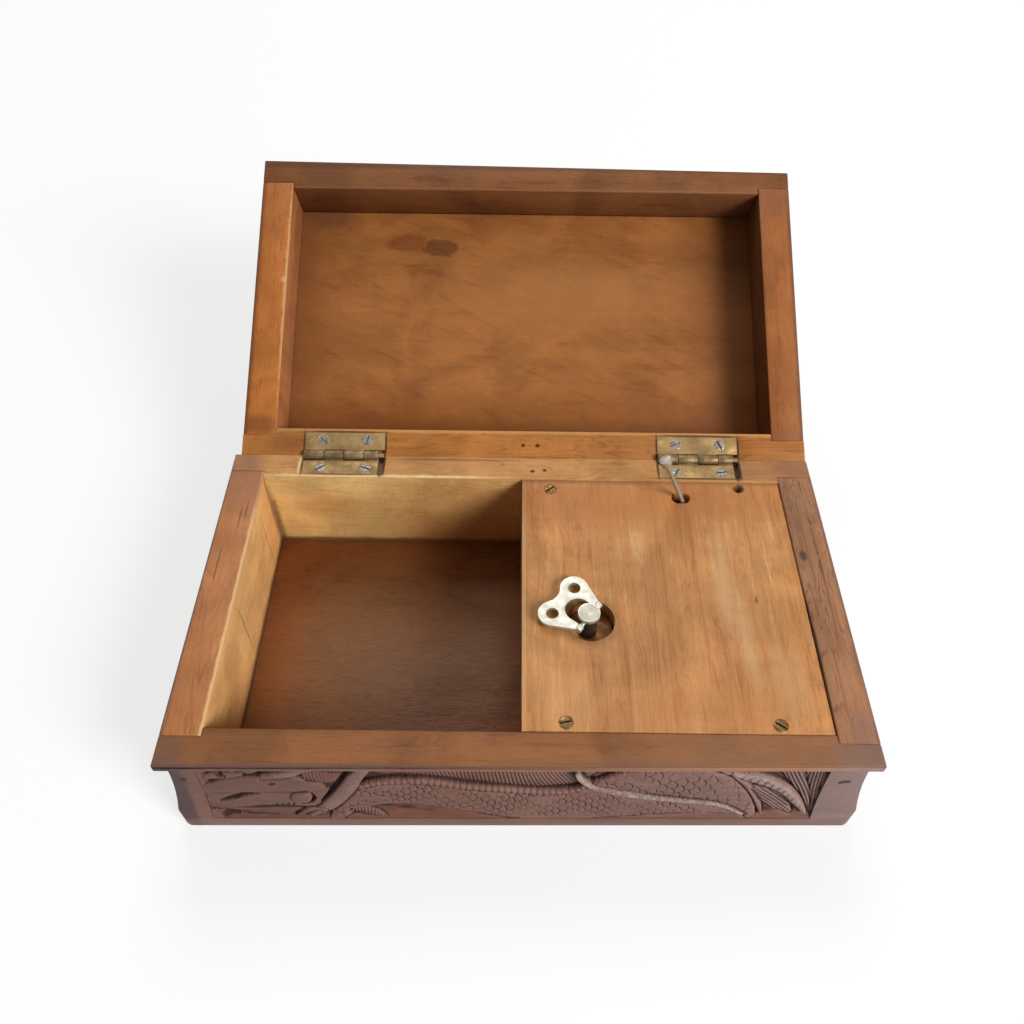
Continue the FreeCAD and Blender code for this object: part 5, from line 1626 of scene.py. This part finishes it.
def make_woods() -> Finishes:
    """Make the woods, each from its pale, middle and dark tones.

    Returns:
        The materials by name.
    """
    across, deep = Grain.ACROSS, Grain.DEEP
    case, lid = Part.CASE, Part.LID
    marks = {**case_marks(), **lid_marks()}
    rows = {
        "front_rail": ("front_rail_wood", (0.37, 0.158, 0.062), (0.292, 0.114, 0.04), (0.2, 0.075, 0.028),
            across, case, dict(figure=0.6)),
        "back_rail": ("back_rail_wood", (0.74, 0.39, 0.145), (0.61, 0.295, 0.1), (0.42, 0.18, 0.06),
            across, case, dict(figure=0.6)),
        "left_rail": ("left_rail_wood", (0.61, 0.265, 0.105), (0.52, 0.21, 0.08), (0.38, 0.147, 0.058),
            deep, case, dict(figure=0.7)),
        "right_rail": ("right_rail_wood", (0.52, 0.255, 0.125), (0.41, 0.195, 0.094), (0.25, 0.11, 0.055),
            deep, case, dict(figure=1.2, ring=3)),
        "outside": ("outside_stain", (0.33, 0.18, 0.135), (0.26, 0.132, 0.096), (0.17, 0.083, 0.062),
            across, case, dict(rough=0.5, shine=0.2, specks=0.3)),
        "inside": ("inside_straw", (0.97, 0.74, 0.33), (0.95, 0.63, 0.245), (0.78, 0.44, 0.145),
            across, case, dict(rough=0.65, figure=0.5, saw=0.2, specks=0.7, shine=0.1)),
        "inside_left": ("inside_left_straw", (0.88, 0.54, 0.23), (0.8, 0.435, 0.165), (0.6, 0.29, 0.1),
            deep, case, dict(rough=0.65, figure=0.5, saw=0.25, specks=0.8, shine=0.1)),
        "floor": ("floor_wood", (0.3, 0.125, 0.05), (0.225, 0.085, 0.03), (0.14, 0.047, 0.016),
            across, case, dict(figure=0.7, ring=4, pores=0.55, specks=0.6, fleck=5, rough=0.42, shine=0.14)),
        "partition": ("partition_wood", (0.5, 0.23, 0.085), (0.4, 0.17, 0.058), (0.26, 0.095, 0.03),
            deep, case, dict(rough=0.6)),
        "panel": ("panel_wood", (0.8, 0.455, 0.197), (0.625, 0.288, 0.105), (0.46, 0.18, 0.058),
            deep, case, dict(
                figure=0.5, streaks=0.8, saw=0.14, pores=0.25, specks=0.8, fleck=9, grime=0.2, rough=0.55)),
        "lid_panel": ("lid_panel_wood", (0.46, 0.185, 0.055), (0.39, 0.146, 0.04), (0.295, 0.099, 0.025),
            across, lid, dict(
                figure=0.5, streaks=0.38, pores=0.22, specks=0.6, ring=15, twist=0.5, slant=-24)),
        "lid_front_rail": ("lid_far_wood", (0.28, 0.115, 0.045), (0.225, 0.086, 0.03), (0.155, 0.055, 0.018),
            across, lid, dict(figure=0.6)),
        "lid_back_rail": ("lid_hinge_wood", (0.6, 0.26, 0.072), (0.48, 0.185, 0.044), (0.34, 0.118, 0.028),
            across, lid, dict(figure=0.8)),
        "lid_left_rail": ("lid_left_wood", (0.6, 0.212, 0.053), (0.51, 0.168, 0.037), (0.38, 0.115, 0.024),
            deep, lid, dict()),
        "lid_right_rail": ("lid_right_wood", (0.47, 0.175, 0.056), (0.4, 0.14, 0.041), (0.3, 0.098, 0.028),
            deep, lid, dict()),
        "lid_outside": ("lid_outside_stain", (0.31, 0.17, 0.13), (0.23, 0.115, 0.085), (0.15, 0.07, 0.052),
            across, lid, dict(rough=0.45, shine=0.3)),
    }
    woods = {}
    for key, (*look, options) in rows.items():
        woods[key] = WoodFinish(*look, marks=marks.get(key, ()), **options)
    wall_tones = ((0.52, 0.21, 0.08), (0.42, 0.165, 0.06), (0.28, 0.1, 0.034))
    # The recess's walls are one wood, scaled per side as painted light: brightest on the left wall that faces
    # the lamp, darkest on the right wall in its shade.
    for side, shade, grain in (("front", 0.55, across), ("back", 1, across),
                               ("left", 1.05, deep), ("right", 0.38, deep)):
        tones = (tuple(shade * part for part in tone) for tone in wall_tones)
        woods["lid_" + side + "_rail_wall"] = WoodFinish(
            "lid_" + side + "_wall", *tones, grain, lid, rough=0.6, shine=0.1, marks=marks["lid_wall"])
    for name in ("outside", "lid_outside"):
        woods[name + "_deep"] = replace(woods[name], name=name + "_deep_stain", grain=deep)
    return {name: wood.make() for name, wood in woods.items()}


def make_metals() -> Finishes:
    """Make the metals.

    Returns:
        The materials by name.
    """
    metals = {
        "hinge": MetalFinish("aged_hinge_brass", (0.365, 0.237, 0.098), (0.255, 0.166, 0.076), 0.55, 0.5, 6),
        "knuckle": MetalFinish("worn_knuckle_brass", (0.28, 0.19, 0.095), (0.14, 0.095, 0.052), 0.5, 0.5, 3),
        # Painted shade for the arbor's shaft in the winding hole.
        "shaded_steel": MetalFinish(
            "shaded_shaft_steel", (0.14, 0.095, 0.065), (0.06, 0.04, 0.028), 0.45, 0.5, 1.5, 0.7),
        "old_brass": MetalFinish("aged_screw_brass", (0.27, 0.16, 0.065), (0.10, 0.055, 0.024), 0.45, 0.5, 1),
        "steel": MetalFinish("screw_steel", (0.34, 0.31, 0.27), (0.16, 0.13, 0.10), 0.48, 0.5, 0.9),
        "nickel": MetalFinish(
            "worn_nickel", (0.58, 0.56, 0.47), (0.52, 0.495, 0.41), 0.46, 0.6, 3, 0.8, 0.12, 0.25),
        "rod": MetalFinish(
            "rod_nickel", (0.50, 0.465, 0.39), (0.34, 0.295, 0.215), 0.42, 0.5, 1.2, 0.5, 0.25, 0.4),
        "movement_brass": MetalFinish(
            "movement_brass", (0.36, 0.165, 0.05), (0.19, 0.08, 0.026), 0.5, 0.5, 4, 0.6),
        "movement_steel": MetalFinish(
            "movement_steel", (0.42, 0.41, 0.40), (0.24, 0.22, 0.20), 0.36, 0.55, 4),
    }
    return {name: metal.make() for name, metal in metals.items()}


def make_finishes() -> Finishes:
    """Make every finish of the box.

    Returns:
        The materials by name.
    """
    carved = CarvedFinish(
        "carved_stain", (0.21, 0.097, 0.069), (0.29, 0.16, 0.12), (0.2, 0.078, 0.05),
        (0.042, 0.02, 0.015), (0.27, 0.145, 0.115), (0.3, 0.188, 0.168), (0.6, 0.5, 0.44))
    return {**make_woods(), "carved": carved.make(), **make_metals()}


def main() -> None:
    """Build the studio, then the box from its case to its movement."""
    Studio().build()
    finishes = make_finishes()
    Case().build(finishes)
    Lid().build(finishes)
    Hinges().build(finishes)
    Winder().build(finishes)
    StopLever().build(finishes)
    Movement().dress(finishes)


if __name__ == "__main__":
    main()
